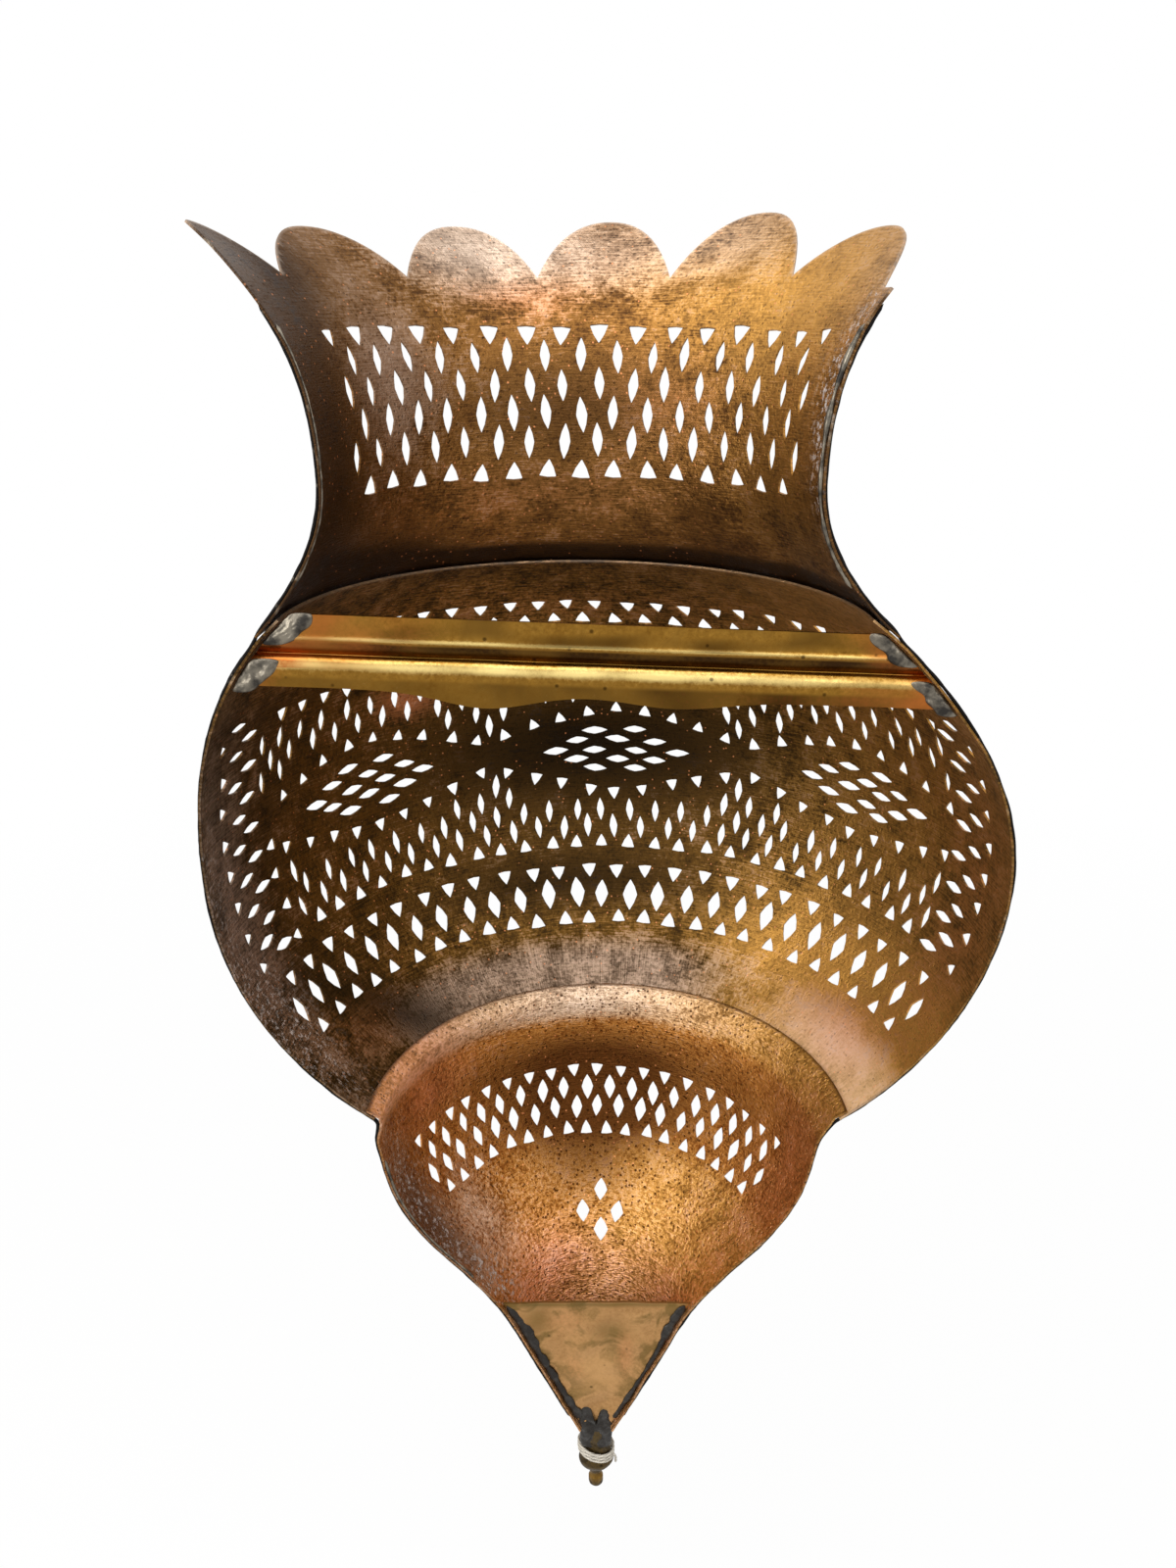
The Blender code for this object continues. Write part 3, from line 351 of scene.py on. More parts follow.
class SconceColours(bpy.types.PropertyGroup):
    """Colours of the metals, the solder and the twine."""

    crown_dark: colour("Crown dark", "#4b2f14", "Darker patina of the crown")
    crown_light: colour("Crown light", "#996a32", "Lighter patina of the crown")
    globe_dark: colour("Globe dark", "#35240c", "Darker patina of the globe")
    globe_light: colour("Globe light", "#785420", "Lighter patina of the globe")
    bowl_dark: colour("Bowl dark", "#7c4716", "Darker patina of the bowl")
    bowl_light: colour("Bowl light", "#d8964a", "Lighter patina of the bowl")
    # worn brass, and also painted light on the lit -X side and the shoulder of the shells
    gold: colour("Gold", "#d9a04e", "Brass where the patina has worn thin")
    copper: colour("Copper", "#d58a5a", "Heat-stained, copper-coloured brass")
    bloom: colour("Bloom", "#a8958a", "Grey film of tarnish")
    # rubbed metal, and also a painted highlight on the crown's lobes, the bowl's lip and the globe's -X
    # foot
    polish: colour("Polish", "#e2cdba", "Rubbed, almost bare metal")
    oxide: colour("Oxide", "#b7ada8", "White and grey corrosion")
    bar: colour("Bar", "#6a4614", "Yellow brass of the bar")
    bar_light: colour("Bar light", "#ab7f34", "Rubbed brass of the bar")
    # painted highlight along the bar's ridge and roll
    bar_painted_highlight: colour("Bar shine", "#f6da8c", "Burnished edges of the bar's groove")
    # stains on the bar, and painted shade on its groove's upper wall
    bar_stain_and_shade: colour("Bar stain", "#35210c", "Grime in the bar's groove")
    bar_heat: colour("Bar heat", "#a8622c", "Copper colour by the bar's soldered ends")
    plate: colour("Plate", "#9a7042", "Dull brass of the tip plate")
    plate_light: colour("Plate light", "#cb9d67", "Rubbed brass of the tip plate")
    plate_stain: colour("Plate stain", "#6a5629", "Stains on the tip plate")
    bronze: colour("Bronze", "#3a2f26", "Dark bronze of the finial")
    iron: colour("Iron", "#1c1a19", "Blackened wire")
    solder: colour("Solder", "#827a6c", "Dull grey solder")
    solder_dark: colour("Solder dark", "#34312d", "Crust in the hollows of the solder")
    flux: colour("Flux", "#211c17", "Burnt black solder")
    twine: colour("Twine", "#d8d0c0", "Off-white cotton twine")
    floor: colour("Floor", "#f4f3f1", "Pale floor")


def sizes():
    """Sizes in use."""
    return bpy.context.scene.sconce_sizes


def colours():
    """Colours in use."""
    return bpy.context.scene.sconce_colours


# Profiles and places on the shells


def smooth_step(low, high, value):
    """3t^2 - 2t^3 of the share t of the way from low to high, held at both ends."""
    share = np.clip((np.asarray(value, float) - low) / (high - low), 0, 1)
    return share * share * (3 - 2 * share)


def bell(value, middle, spread):
    """exp(-((v - m) / s)^2)."""
    return np.exp(-(((value - middle) / spread) ** 2))


def slope_of(radius_at, height):
    """Radius gained per metre of height, by a central difference."""
    step = 0.0002
    return (radius_at(height + step) - radius_at(height - step)) / (2 * step)


def globe_radius(height):
    """Inner radius of the globe: a * sqrt(1 - ((h - h0) / b)^2)."""
    size = sizes()
    lift = (np.asarray(height) - size.belly_height) / size.globe_half_height
    return size.belly_radius * np.sqrt(np.clip(1 - lift * lift, 0, 1))


def lapped(height, walls):
    """Radius that clears the globe's face by so many walls and one lap, square to the face."""
    size = sizes()
    room = math.copysign(abs(walls) * size.sheet + size.lap_gap, walls)
    return globe_radius(height) + room * np.hypot(1, slope_of(globe_radius, height))


def crown_radius(height):
    """Inner radius of the crown: waist + skirt * drop^p below it, + mouth * rise^q above it."""
    size = sizes()
    drop = (size.waist_height - np.asarray(height)) / (size.waist_height - size.skirt_height)
    rise = (np.asarray(height) - size.waist_height) / (size.mouth_height - size.waist_height)
    skirt = lapped(size.skirt_height, 1) - size.waist_radius
    mouth = size.mouth_radius - size.waist_radius
    below = skirt * np.clip(drop, 0, None) ** SKIRT_POWER
    return size.waist_radius + below + mouth * np.clip(rise, 0, None) ** MOUTH_POWER


def monotone(knots, place):
    """Cubic through knots whose slopes are harmonic means, so that it never overshoots them."""
    at, value = np.array(knots).T
    rises = np.diff(value) / np.diff(at)
    below, above = rises[:-1], rises[1:]
    total = np.where(below * above > 0, below + above, 1.0)
    means = np.where(below * above > 0, 2 * below * above / total, 0.0)
    slopes = np.concatenate(([rises[0]], means, [rises[-1]]))
    i = np.clip(np.searchsorted(at, place) - 1, 0, len(rises) - 1)
    span = at[i + 1] - at[i]
    t = (place - at[i]) / span
    start = value[i] * (1 + 2 * t) * (1 - t) ** 2 + span * slopes[i] * t * (1 - t) ** 2
    return start + value[i + 1] * t * t * (3 - 2 * t) + span * slopes[i + 1] * t * t * (t - 1)


def bowl_radius(height):
    """Inner radius of the bowl: a monotone cubic that ends parallel to the globe's face."""
    hip = sizes().hip_height
    lip = hip + LIP_RISE
    edge = float(lapped(hip, -1))
    cone = [(hip - drop, radius) for drop, radius in BOWL_DROPS]
    halfway = tuple((np.array(CONE_END) + cone[0]) / 2)
    neck = [(hip - drop, edge - inset) for drop, inset in BOWL_INSETS]
    knots = (CONE_END, halfway, *cone, *neck, (hip, edge), (lip, float(lapped(lip, -1))))
    return monotone(knots, np.asarray(height, float))


def axis_shift(height):
    """X of the axis: smooth steps to the belly's lean and back over to the crown's."""
    size = sizes()
    belly = smooth_step(size.hip_height - BOWL_INSETS[-1][0], size.hip_height, height)
    crown = smooth_step(size.belly_height, size.skirt_height + LEAN_RISE, height)
    return BELLY_SHIFT * belly + (CROWN_SHIFT - BELLY_SHIFT) * crown


def on_shell(radius_at, angle, height, lift=0.0):
    """Point (shift + r sin a, -r cos a, h), raised by lift along the profile's normal."""
    slope = slope_of(radius_at, height)
    stretch = np.hypot(1, slope)
    radius = radius_at(height) + lift / stretch
    lifted = height - lift * slope / stretch
    turn = np.radians(angle)
    x = axis_shift(lifted) + radius * np.sin(turn)
    return np.stack(np.broadcast_arrays(x, -radius * np.cos(turn), lifted + FOOT), -1)


def edge_line(radius_at, side, heights, lift, depth):
    """Line along a shell's back edge, off its inner face by lift and off the wall by depth."""

    def reach(height):
        return radius_at(height) + side * axis_shift(height)

    slope = slope_of(reach, heights)
    out = lift / np.hypot(1, slope)
    x = side * (reach(heights) + out)
    return np.stack([x, np.full_like(x, -depth), heights - out * slope + FOOT], -1)


def ripple(places, size, seed):
    """Sum of sines of random heading and phase, about one size long, with a spread near 1.

    Each use has a seed of its own, so that no two pieces are uneven alike.
    """
    waves = RIPPLE_WAVES
    draw = np.random.default_rng(seed)
    heading = draw.normal(size=(places.shape[-1], waves))
    heading /= np.linalg.norm(heading, axis=0)
    pace = 2 * np.pi / (size * draw.uniform(0.6, 1.7, waves))
    phase = draw.uniform(0, 2 * np.pi, waves)
    return np.sin(places @ (heading * pace) + phase).sum(-1) * math.sqrt(2 / waves)


# Meshes


def add_piece(name, points, faces, material, node, flow=None, marks=None):
    """Closed mesh on the root body that stands for a CAD node, with a flow map and point marks."""
    mesh = bpy.data.meshes.new(name)
    mesh.from_pydata(points.tolist(), [], faces)
    mesh.shade_smooth()
    mesh.set_sharp_from_angle(angle=math.radians(SHARP_ANGLE))
    if flow is not None:
        corners = np.empty(len(mesh.loops), np.int32)
        mesh.loops.foreach_get("vertex_index", corners)
        layer = mesh.uv_layers.new(name="flow")
        layer.data.foreach_set("uv", flow[corners].astype(np.float32).ravel())
    for mark, values in (marks or {}).items():
        held = mesh.attributes.new(mark, "FLOAT", "POINT")
        held.data.foreach_set("value", np.asarray(values, np.float32))
    mesh.materials.append(material)
    piece = bpy.data.objects.new(name, mesh)
    bpy.context.scene.collection.objects.link(piece)
    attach(piece, "root")
    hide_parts(node)
    return piece


def tube_faces(rings, sides):
    """Quads between rings and fans to a pole at each end, the poles being the last two points."""
    ring = np.arange(rings - 1)[:, None] * sides
    side = np.arange(sides)[None, :]
    after = (side + 1) % sides
    quads = np.stack([ring + side, ring + sides + side, ring + sides + after, ring + after], -1)
    around, nearest = side[0], after[0]
    far = (rings - 1) * sides
    first, last = np.full(sides, rings * sides), np.full(sides, rings * sides + 1)
    start = np.stack([first, around, nearest], -1)
    end = np.stack([last, far + nearest, far + around], -1)
    return quads.reshape(-1, 4).tolist() + start.tolist() + end.tolist()


def sweep(path, wide, thick, up, sides=12, lobes=None):
    """Profile carried along a path: p + wide cos(t) n + thick sin(t) b, closed at each end.

    n is square to the path and to up, and b completes the frame. Lobes scale the profile by
    ring and side.
    """
    along = np.gradient(path, axis=0)
    along /= np.linalg.norm(along, axis=1, keepdims=True)
    across = np.cross(along, np.array(up, float))
    across /= np.linalg.norm(across, axis=1, keepdims=True)
    rise = np.cross(across, along)
    turn = np.linspace(0, 2 * np.pi, sides, endpoint=False)
    scale = np.ones((len(path), sides)) if lobes is None else lobes
    x = (np.asarray(wide)[:, None] * np.cos(turn) * scale)[..., None] * across[:, None]
    y = (np.asarray(thick)[:, None] * np.sin(turn) * scale)[..., None] * rise[:, None]
    rings = path[:, None] + x + y
    points = np.concatenate([rings.reshape(-1, 3), path[:1], path[-1:]])
    return points, tube_faces(len(path), sides)


def run_of(path):
    """Length along a path at each of its points."""
    return np.concatenate([[0], np.cumsum(np.linalg.norm(np.diff(path, axis=0), axis=1))])


def blunt(path, radius):
    """Share of full size along a path that rounds off over one radius at each end."""
    run = run_of(path)
    near = np.minimum(run, run[-1] - run) / radius
    return np.sqrt(np.clip(near * (2 - np.clip(near, 0, 1)), 0.02, 1))


def resample(line, step):
    """Points along a line at even steps, after its corners are rounded by averaging."""
    run = run_of(line)
    even = np.linspace(0, run[-1], max(8, int(run[-1] / step)))
    path = np.stack([np.interp(even, run, line[:, i]) for i in range(3)], -1)
    for _ in range(4):
        path[1:-1] = (path[:-2] + 2 * path[1:-1] + path[2:]) / 4
    return path


def thick_grid(front, back):
    """Closed slab between two grids of the same shape, its four edges joined by strips."""
    rows, columns = front.shape[:2]
    index = np.arange(rows * columns).reshape(rows, columns)
    half = rows * columns
    a, b, c, d = index[:-1, :-1], index[1:, :-1], index[1:, 1:], index[:-1, 1:]
    faces = [np.stack([a, b, c, d], -1).reshape(-1, 4)]
    faces.append(np.stack([a, d, c, b], -1).reshape(-1, 4) + half)
    loop = np.concatenate([index[0, :-1], index[:-1, -1], index[-1, :0:-1], index[:0:-1, 0]])
    after = np.roll(loop, -1)
    faces.append(np.stack([loop, after, after + half, loop + half], -1))
    points = np.concatenate([front.reshape(-1, 3), back.reshape(-1, 3)])
    return points, np.concatenate(faces).tolist()


def both_faces(marks):
    """Marks of a slab's front, held between 0 and 1 and repeated on its back."""
    return {key: np.tile(np.clip(mark, 0, 1).ravel(), 2) for key, mark in marks.items()}


def rounded(corners):
    """Closed outline with its corners cut three times at the quarters of each side."""
    outline = np.array(corners, float)
    for _ in range(3):
        after = np.roll(outline, -1, axis=0)
        outline = np.stack([0.75 * outline + 0.25 * after, 0.25 * outline + 0.75 * after], 1)
        outline = outline.reshape(-1, 2)
    return outline


def puddle(outline, base, rise, seed):
    """Set drop of solder on a face at y = base.

    Rings shrink from the outline to its middle, u from 1 to 0, and stand up by
    rise * sqrt(1 - u^3), made uneven by ripples.
    """
    middle = outline.mean(0)
    share = np.cos(np.linspace(0, 1, PUDDLE_RINGS, endpoint=False) * np.pi / 2)[:, None, None]
    flat = middle + (outline - middle) * share
    dome = np.sqrt(1 - share[..., 0] ** 3) * np.ones(len(outline))
    uneven = 0.8 + 0.16 * ripple(flat, 0.0062, seed) + 0.05 * ripple(flat, 0.0021, seed + 1)
    height = base + rise * dome * np.clip(uneven, 0.3, 1.3)
    rings_at = np.stack([flat[..., 0], height, flat[..., 1]], -1)
    foot = np.array([[middle[0], base, middle[1]]])
    top = np.array([[middle[0], height[-1].mean(), middle[1]]])
    points = np.concatenate([rings_at.reshape(-1, 3), foot, top])
    return points, tube_faces(PUDDLE_RINGS, len(outline))


# Chisel cuts


def diamond(size):
    """Corners of an upright diamond about its middle."""
    width, tall = size
    return [(0, tall / 2), (-width / 2, 0), (0, -tall / 2), (width / 2, 0)]


def triangle(size):
    """Corners of a triangle that points up, about its middle."""
    width, tall = size
    return [(0, tall / 2), (-width / 2, -tall / 2), (width / 2, -tall / 2)]


def chiselled(corners):
    """Outline of a cut: its sides swell by 4t(1 - t) and its corners are blunted."""
    corner = np.array(corners, float)
    run = np.roll(corner, -1, axis=0) - corner
    out = np.stack([run[:, 1], -run[:, 0]], -1)
    share = np.array([CUT_BLUNT, 0.5, 1 - CUT_BLUNT])[None, :, None]
    swell = CUT_SWELL * 4 * share * (1 - share)
    return (corner[:, None] + run[:, None] * share + out[:, None] * swell).reshape(-1, 2)


def pierce(hand, radius_at, angle, height, corners, tilt=0.0):
    """Edge of one cut as angles and heights, a little off as a hand cuts it."""
    angle += hand.uniform(-CUT_WANDER_ANGLE, CUT_WANDER_ANGLE)
    height += hand.uniform(-CUT_WANDER_HEIGHT, CUT_WANDER_HEIGHT)
    turn = math.radians(tilt + hand.uniform(-CUT_WANDER_TILT, CUT_WANDER_TILT))
    edge = (1 + hand.uniform(-CUT_WANDER_SIZE, CUT_WANDER_SIZE)) * chiselled(corners)
    x = edge[:, 0] * math.cos(turn) - edge[:, 1] * math.sin(turn)
    s = edge[:, 0] * math.sin(turn) + edge[:, 1] * math.cos(turn)
    climb = np.hypot(1, slope_of(radius_at, height))
    return np.stack([angle + np.degrees(x / radius_at(height)), height + s / climb], -1)


def columns(count, pitch, turn):
    """Evenly stepped angles about a middle angle."""
    return [turn + (i - (count - 1) / 2) * pitch for i in range(count)]


def both_columns(count, pitch, turn):
    """Angles of the columns, and of the columns that stand between them."""
    return columns(count, pitch, turn), columns(count - 1, pitch, turn)


def cut_rows(hand, radius_at, middle, rows):
    """Cuts of rows, each given as a rise over the middle, an outline, a tilt and its angles."""
    return [
        pierce(hand, radius_at, angle, middle + rise, corners, tilt)
        for rise, corners, tilt, angles in rows
        for angle in angles
    ]


def crown_cuts():
    """Four staggered rows of diamonds between two rows of triangles."""
    even, odd = both_columns(*CROWN_COLUMNS)
    tall, notch, step = diamond(CROWN_DIAMOND), triangle(CROWN_TRIANGLE), CROWN_ROW_STEP
    staggered = ((1.5, odd), (0.5, even), (-0.5, odd), (-1.5, even))
    rows = [(row * step, tall, 0.0, angles) for row, angles in staggered]
    above, below = CROWN_NOTCH_ROWS
    rows += [(above * step, notch, 180.0, even), (below * step, notch, 0.0, odd)]
    middle = sizes().mouth_height - CROWN_BAND_DROP
    return cut_rows(random.Random(CUT_SEED), crown_radius, middle, rows)


def frieze_cuts(hand):
    """Two rows of triangles, point to point, round the globe's shoulder."""
    middle = sizes().skirt_height - FRIEZE_DROP
    reach = FRIEZE_TRIANGLE[1] * FRIEZE_REACH / np.hypot(1, slope_of(globe_radius, middle))
    even, odd = both_columns(*FRIEZE_COLUMNS)
    notch = triangle(FRIEZE_TRIANGLE)
    rows = [(reach, notch, 180.0, even), (-reach, notch, 0.0, odd)]
    return cut_rows(hand, globe_radius, middle, rows)


def lens_reach(angle, middles):
    """Half height of the lens about the nearest medallion: h - (h - tip) * share^p."""
    away = min(abs(angle - middle) for middle in middles) / (MEDALLION_PITCH / 2)
    return LENS_HEIGHT - (LENS_HEIGHT - LENS_TIP) * min(away, 1.0) ** LENS_POWER


def lens_lean(angle, middles):
    """Slope of the lens's upper edge in degrees."""
    rise = lens_reach(angle + 1, middles) - lens_reach(angle - 1, middles)
    return math.degrees(math.atan2(rise, math.radians(2) * sizes().belly_radius))


def field_cuts(hand, middle, lenses):
    """Staggered upright diamonds above and below the lenses, with triangles along every edge."""
    even, odd = both_columns(*FIELD_COLUMNS)
    rows = []
    for row in range(FIELD_ROWS):
        lift = (row - (FIELD_ROWS - 1) / 2) * FIELD_ROW_STEP
        clear = LENS_CLEAR[row % 2]
        kept = [a for a in (even, odd)[row % 2] if abs(lift) >= lens_reach(a, lenses) + clear]
        rows.append((lift, diamond(FIELD_DIAMOND), 0.0, kept))
    edge, notch = triangle(FIELD_TRIANGLE), triangle(LENS_TRIANGLE)
    rows += [(FIELD_TOP, edge, 180.0, even), (-FIELD_FOOT, edge, 0.0, odd)]
    for angle in even:
        reach, lean = lens_reach(angle, lenses), lens_lean(angle, lenses)
        rows += [(reach, notch, lean, [angle]), (-reach, notch, 180.0 - lean, [angle])]
    return cut_rows(hand, globe_radius, middle, rows)


def band_cuts(hand):
    """Large diamonds between two rows of triangles, round the foot of the globe."""
    even, odd = both_columns(*BAND_COLUMNS)
    notch = triangle(BAND_TRIANGLE)
    rows = ((0.0, diamond(BAND_DIAMOND), 0.0, even),)
    rows += ((BAND_REACH, notch, 180.0, odd), (-BAND_REACH, notch, 0.0, odd))
    return cut_rows(hand, globe_radius, sizes().belly_height - BAND_DROP, rows)


def medallion_cuts(hand, middle, lens):
    """Short rows of small lying diamonds that fill the middle of one lens."""
    half = (len(MEDALLION_ROWS) - 1) / 2
    lying = diamond(MEDALLION_DIAMOND)
    rows = [
        ((row - half) * MEDALLION_ROW_STEP, lying, 0.0, columns(count, MEDALLION_STEP, lens))
        for row, count in enumerate(MEDALLION_ROWS)
    ]
    return cut_rows(hand, globe_radius, middle, rows)


def side_cuts(hand, middle, side):
    """Two columns of lying diamonds and one of triangles that point in, near a back edge."""
    outer, inner, last = (side * angle for angle in SIDE_ANGLES)
    notch, lying = triangle(LENS_TRIANGLE), diamond(MEDALLION_DIAMOND)
    rows = []
    for row in range(SIDE_ROWS):
        rise = (row - (SIDE_ROWS - 1) / 2) * SIDE_STEP
        rows.append((rise, notch, 90.0 * side, [outer]))
        rows.append((rise + SIDE_STEP / 2, lying, 0.0, [inner]))
        rows.append((rise, lying, 0.0, [last]))
    return cut_rows(hand, globe_radius, middle, rows)


def end_cuts(hand, middle, lenses):
    """At the +X end of the field, two short columns of diamonds and one of triangles."""
    rows = []
    for row in range(FIELD_ROWS // 2 + 2, FIELD_ROWS):
        lift = (row - (FIELD_ROWS - 1) / 2) * FIELD_ROW_STEP
        angle = FIELD_EXTRA[row % 2]
        if lift >= lens_reach(angle, lenses) + LENS_CLEAR[row % 2]:
            rows.append((lift, diamond(FIELD_DIAMOND), 0.0, [angle]))
    angle, count = SIDE_INNER
    for row in range(count):
        rise = (row - (SIDE_ROWS - 1) / 2) * SIDE_STEP
        rows.append((rise, triangle(LENS_TRIANGLE), -90.0, [angle]))
    return cut_rows(hand, globe_radius, middle, rows)


def globe_cuts():
    """All the cuts of the globe."""
    hand = random.Random(CUT_SEED + 1)
    middle = sizes().belly_height - FIELD_DROP
    lenses = columns(3, MEDALLION_PITCH, GLOBE_TURN)
    cuts = frieze_cuts(hand) + field_cuts(hand, middle, lenses) + band_cuts(hand)
    for lens in lenses:
        cuts += medallion_cuts(hand, middle, lens)
    cuts += side_cuts(hand, middle, -1) + side_cuts(hand, middle, 1)
    return cuts + end_cuts(hand, middle, lenses)


def bowl_cuts():
    """Two staggered rows of diamonds between rows of triangles, and a motif of four diamonds."""
    hand = random.Random(CUT_SEED + 2)
    even, odd = both_columns(*BOWL_COLUMNS)
    notch, tall, step = triangle(BOWL_TRIANGLE), diamond(BOWL_DIAMOND), BOWL_ROW_STEP
    above, below = BOWL_NOTCH_ROWS
    rows = [(above * step, notch, 180.0, even), (0.5 * step, tall, 0.0, odd)]
    rows += [(-0.5 * step, tall, 0.0, even), (below * step, notch, 0.0, odd)]
    cuts = cut_rows(hand, bowl_radius, sizes().hip_height - BOWL_BAND_DROP, rows)
    middle = sizes().hip_height - MOTIF_DROP
    across, along = MOTIF_REACH
    turn = math.degrees(across / bowl_radius(middle))
    stops = ((turn, 0), (-turn, 0), (0, along), (0, -along))
    motif = [(rise, diamond(MOTIF_DIAMOND), 0.0, [MOTIF_ANGLE + off]) for off, rise in stops]
    return cuts + cut_rows(hand, bowl_radius, middle, motif)


# Shells


def scallop_edge(angle):
    """Height of the crown's cut edge: foot + (tip - foot)(1 - |x|^p) over each lobe."""
    angle = np.asarray(angle, float)
    meets, rises = np.array(SCALLOP_MEETS), np.array(SCALLOP_RISES)
    lobe = np.clip(np.searchsorted(meets, angle) - 1, 0, len(rises) - 1)
    low, high = meets[lobe], meets[lobe + 1]
    across = np.abs(2 * (angle - low) / (high - low) - 1)
    share = np.maximum(1 - across**SCALLOP_POWER, -SCALLOP_FALL)
    foot = sizes().mouth_height - SCALLOP_DEPTH
    return foot + (SCALLOP_DEPTH + rises[lobe]) * share


def level_edge(level):
    """Height of an edge that is the same all round."""
    return lambda angle: np.full_like(np.asarray(angle, float), level)


def pierced_sheet(bottom, top_at, notches, cuts):
    """Flat pierced sheet as points (angle, height), triangles, and each point's kind of edge.

    The sheet is its outline with the cuts as holes, filled with a row of points close inside
    the outline and a staggered grid, and joined by a constrained Delaunay triangulation in
    (radians * belly radius, height). Kinds are 0 inside, 1 foot, 2 back and 3 top.
    """
    belly, grid_step = sizes().belly_radius, SHELL_GRID
    scale = np.array([math.radians(1) * belly, 1.0])
    around = np.linspace(-90, 90, int(math.pi * belly / grid_step))
    top = np.unique(np.concatenate([around, notches[np.abs(notches) < 90]]))
    right, left = (np.arange(bottom, top_at(side) - grid_step / 2, grid_step)[1:] for side in (90, -90))
    sides = (
        np.stack([around, np.full_like(around, bottom)], -1),
        np.stack([np.full_like(right, 90.0), right], -1),
        np.stack([top, top_at(top)], -1)[::-1],
        np.stack([np.full_like(left, -90.0), left], -1)[::-1],
    )
    inwards = EDGE_ROW * np.array([(0, 1), (-1, 0), (0, -1), (1, 0)]) / scale
    rows = np.concatenate([side + step for side, step in zip(sides, inwards)])
    outline = np.concatenate(sides)
    kinds = np.repeat([1, 2, 3, 2], [len(side) for side in sides])
    edges = np.concatenate(cuts)
    middles = np.array([cut.mean(0) for cut in cuts]) * scale
    reaches = np.array([np.linalg.norm((cut - cut.mean(0)) * scale, axis=1).max() for cut in cuts])
    levels = np.arange(bottom, top_at(top).max(), grid_step * GRID_ROW_SHARE)
    grid = np.stack(np.meshgrid(around[:-1], levels), -1)
    grid[1::2, :, 0] += (around[1] - around[0]) / 2
    grid = grid.reshape(-1, 2)
    for places, room in ((rows, EDGE_ROOM * EDGE_ROW), (grid, GRID_ROOM * grid_step)):
        inside = np.abs(places[:, 0]) < 90 - room / scale[0]
        inside &= (places[:, 1] > bottom + room) & (places[:, 1] < top_at(places[:, 0]) - room)
        gap = np.linalg.norm((places * scale)[:, None] - middles[None], axis=2) - reaches
        edges = np.concatenate([edges, places[inside & (gap.min(1) > CUT_MARGIN)]])
    flat = np.concatenate([outline, edges]) * scale
    starts = len(outline) + np.cumsum([0] + [len(cut) for cut in cuts])
    loops = [list(range(len(outline)))]
    loops += [list(range(low, high)) for low, high in zip(starts[:-1], starts[1:])]
    made = delaunay_2d_cdt(list(map(Vector, flat.tolist())), [], loops, 1, 1e-7)
    triangles = np.array([face for face, owner in zip(made[2], made[5]) if list(owner) == [0]])
    source = np.array([origin[0] if origin else len(flat) for origin in made[3]])
    kind = np.concatenate([kinds, np.zeros(len(edges) + 1, int)])[source]
    used, triangles = np.unique(triangles, return_inverse=True)
    places = np.array([tuple(place) for place in made[0]])[used] / scale
    return places, triangles.reshape(-1, 3), kind[used]


def add_shell(name, radius_at, edges, notches, cuts, material, marks_at, slot, seed):
    """Wrap a pierced sheet round a profile, dent it, and close its wall along every edge."""
    bottom, top_at = edges
    places, triangles, kind = pierced_sheet(bottom, top_at, np.array(notches), cuts)
    angle, height = places.T
    flow = np.stack([np.radians(angle) * sizes().belly_radius, height], -1)
    true = on_shell(radius_at, angle, height)
    fade = np.clip(np.minimum(height - bottom, top_at(angle) - height) / DENT_FADE, 0, 1)
    dents = ripple(true, DENT_SIZE, seed) + 0.3 * ripple(true, DENT_SIZE / 3, seed + 1)
    dents = DENT_DEPTH * fade * dents
    inner = on_shell(radius_at, angle, height, dents)
    outer = on_shell(radius_at, angle, height, dents + sizes().sheet)
    count = len(places)
    directed = np.concatenate([triangles[:, [0, 1]], triangles[:, [1, 2]], triangles[:, [2, 0]]])
    code = directed[:, 0].astype(np.int64) * count + directed[:, 1]
    mirror = directed[:, 1].astype(np.int64) * count + directed[:, 0]
    a, b = directed[~np.isin(code, mirror)].T
    rim = np.concatenate([np.stack([b + count, a + count, a], -1), np.stack([b + count, a, b], -1)])
    faces = np.concatenate([triangles[:, ::-1], triangles + count, rim]).tolist()
    given = marks_at(angle, height, kind)
    marks = {}
    for key in MARKS:
        mark = np.clip(given.get(key, np.zeros(count)), 0, 1)
        marks[key] = np.concatenate([mark, OUTER_SHARE.get(key, 1.0) * mark])
    points = np.concatenate([inner, outer])
    add_piece(name + "_brass", points, faces, material, name, np.tile(flow, (2, 1)), marks)


def patches(angle, height, spots):
    """Sum of bell-shaped spots (angle, height, wide, tall, strength)."""
    total = np.zeros_like(angle)
    for middle, level, wide, tall, strength in spots:
        across, up = (angle - middle) / wide, (height - level) / tall
        total += strength * np.exp(-across * across - up * up)
    return total


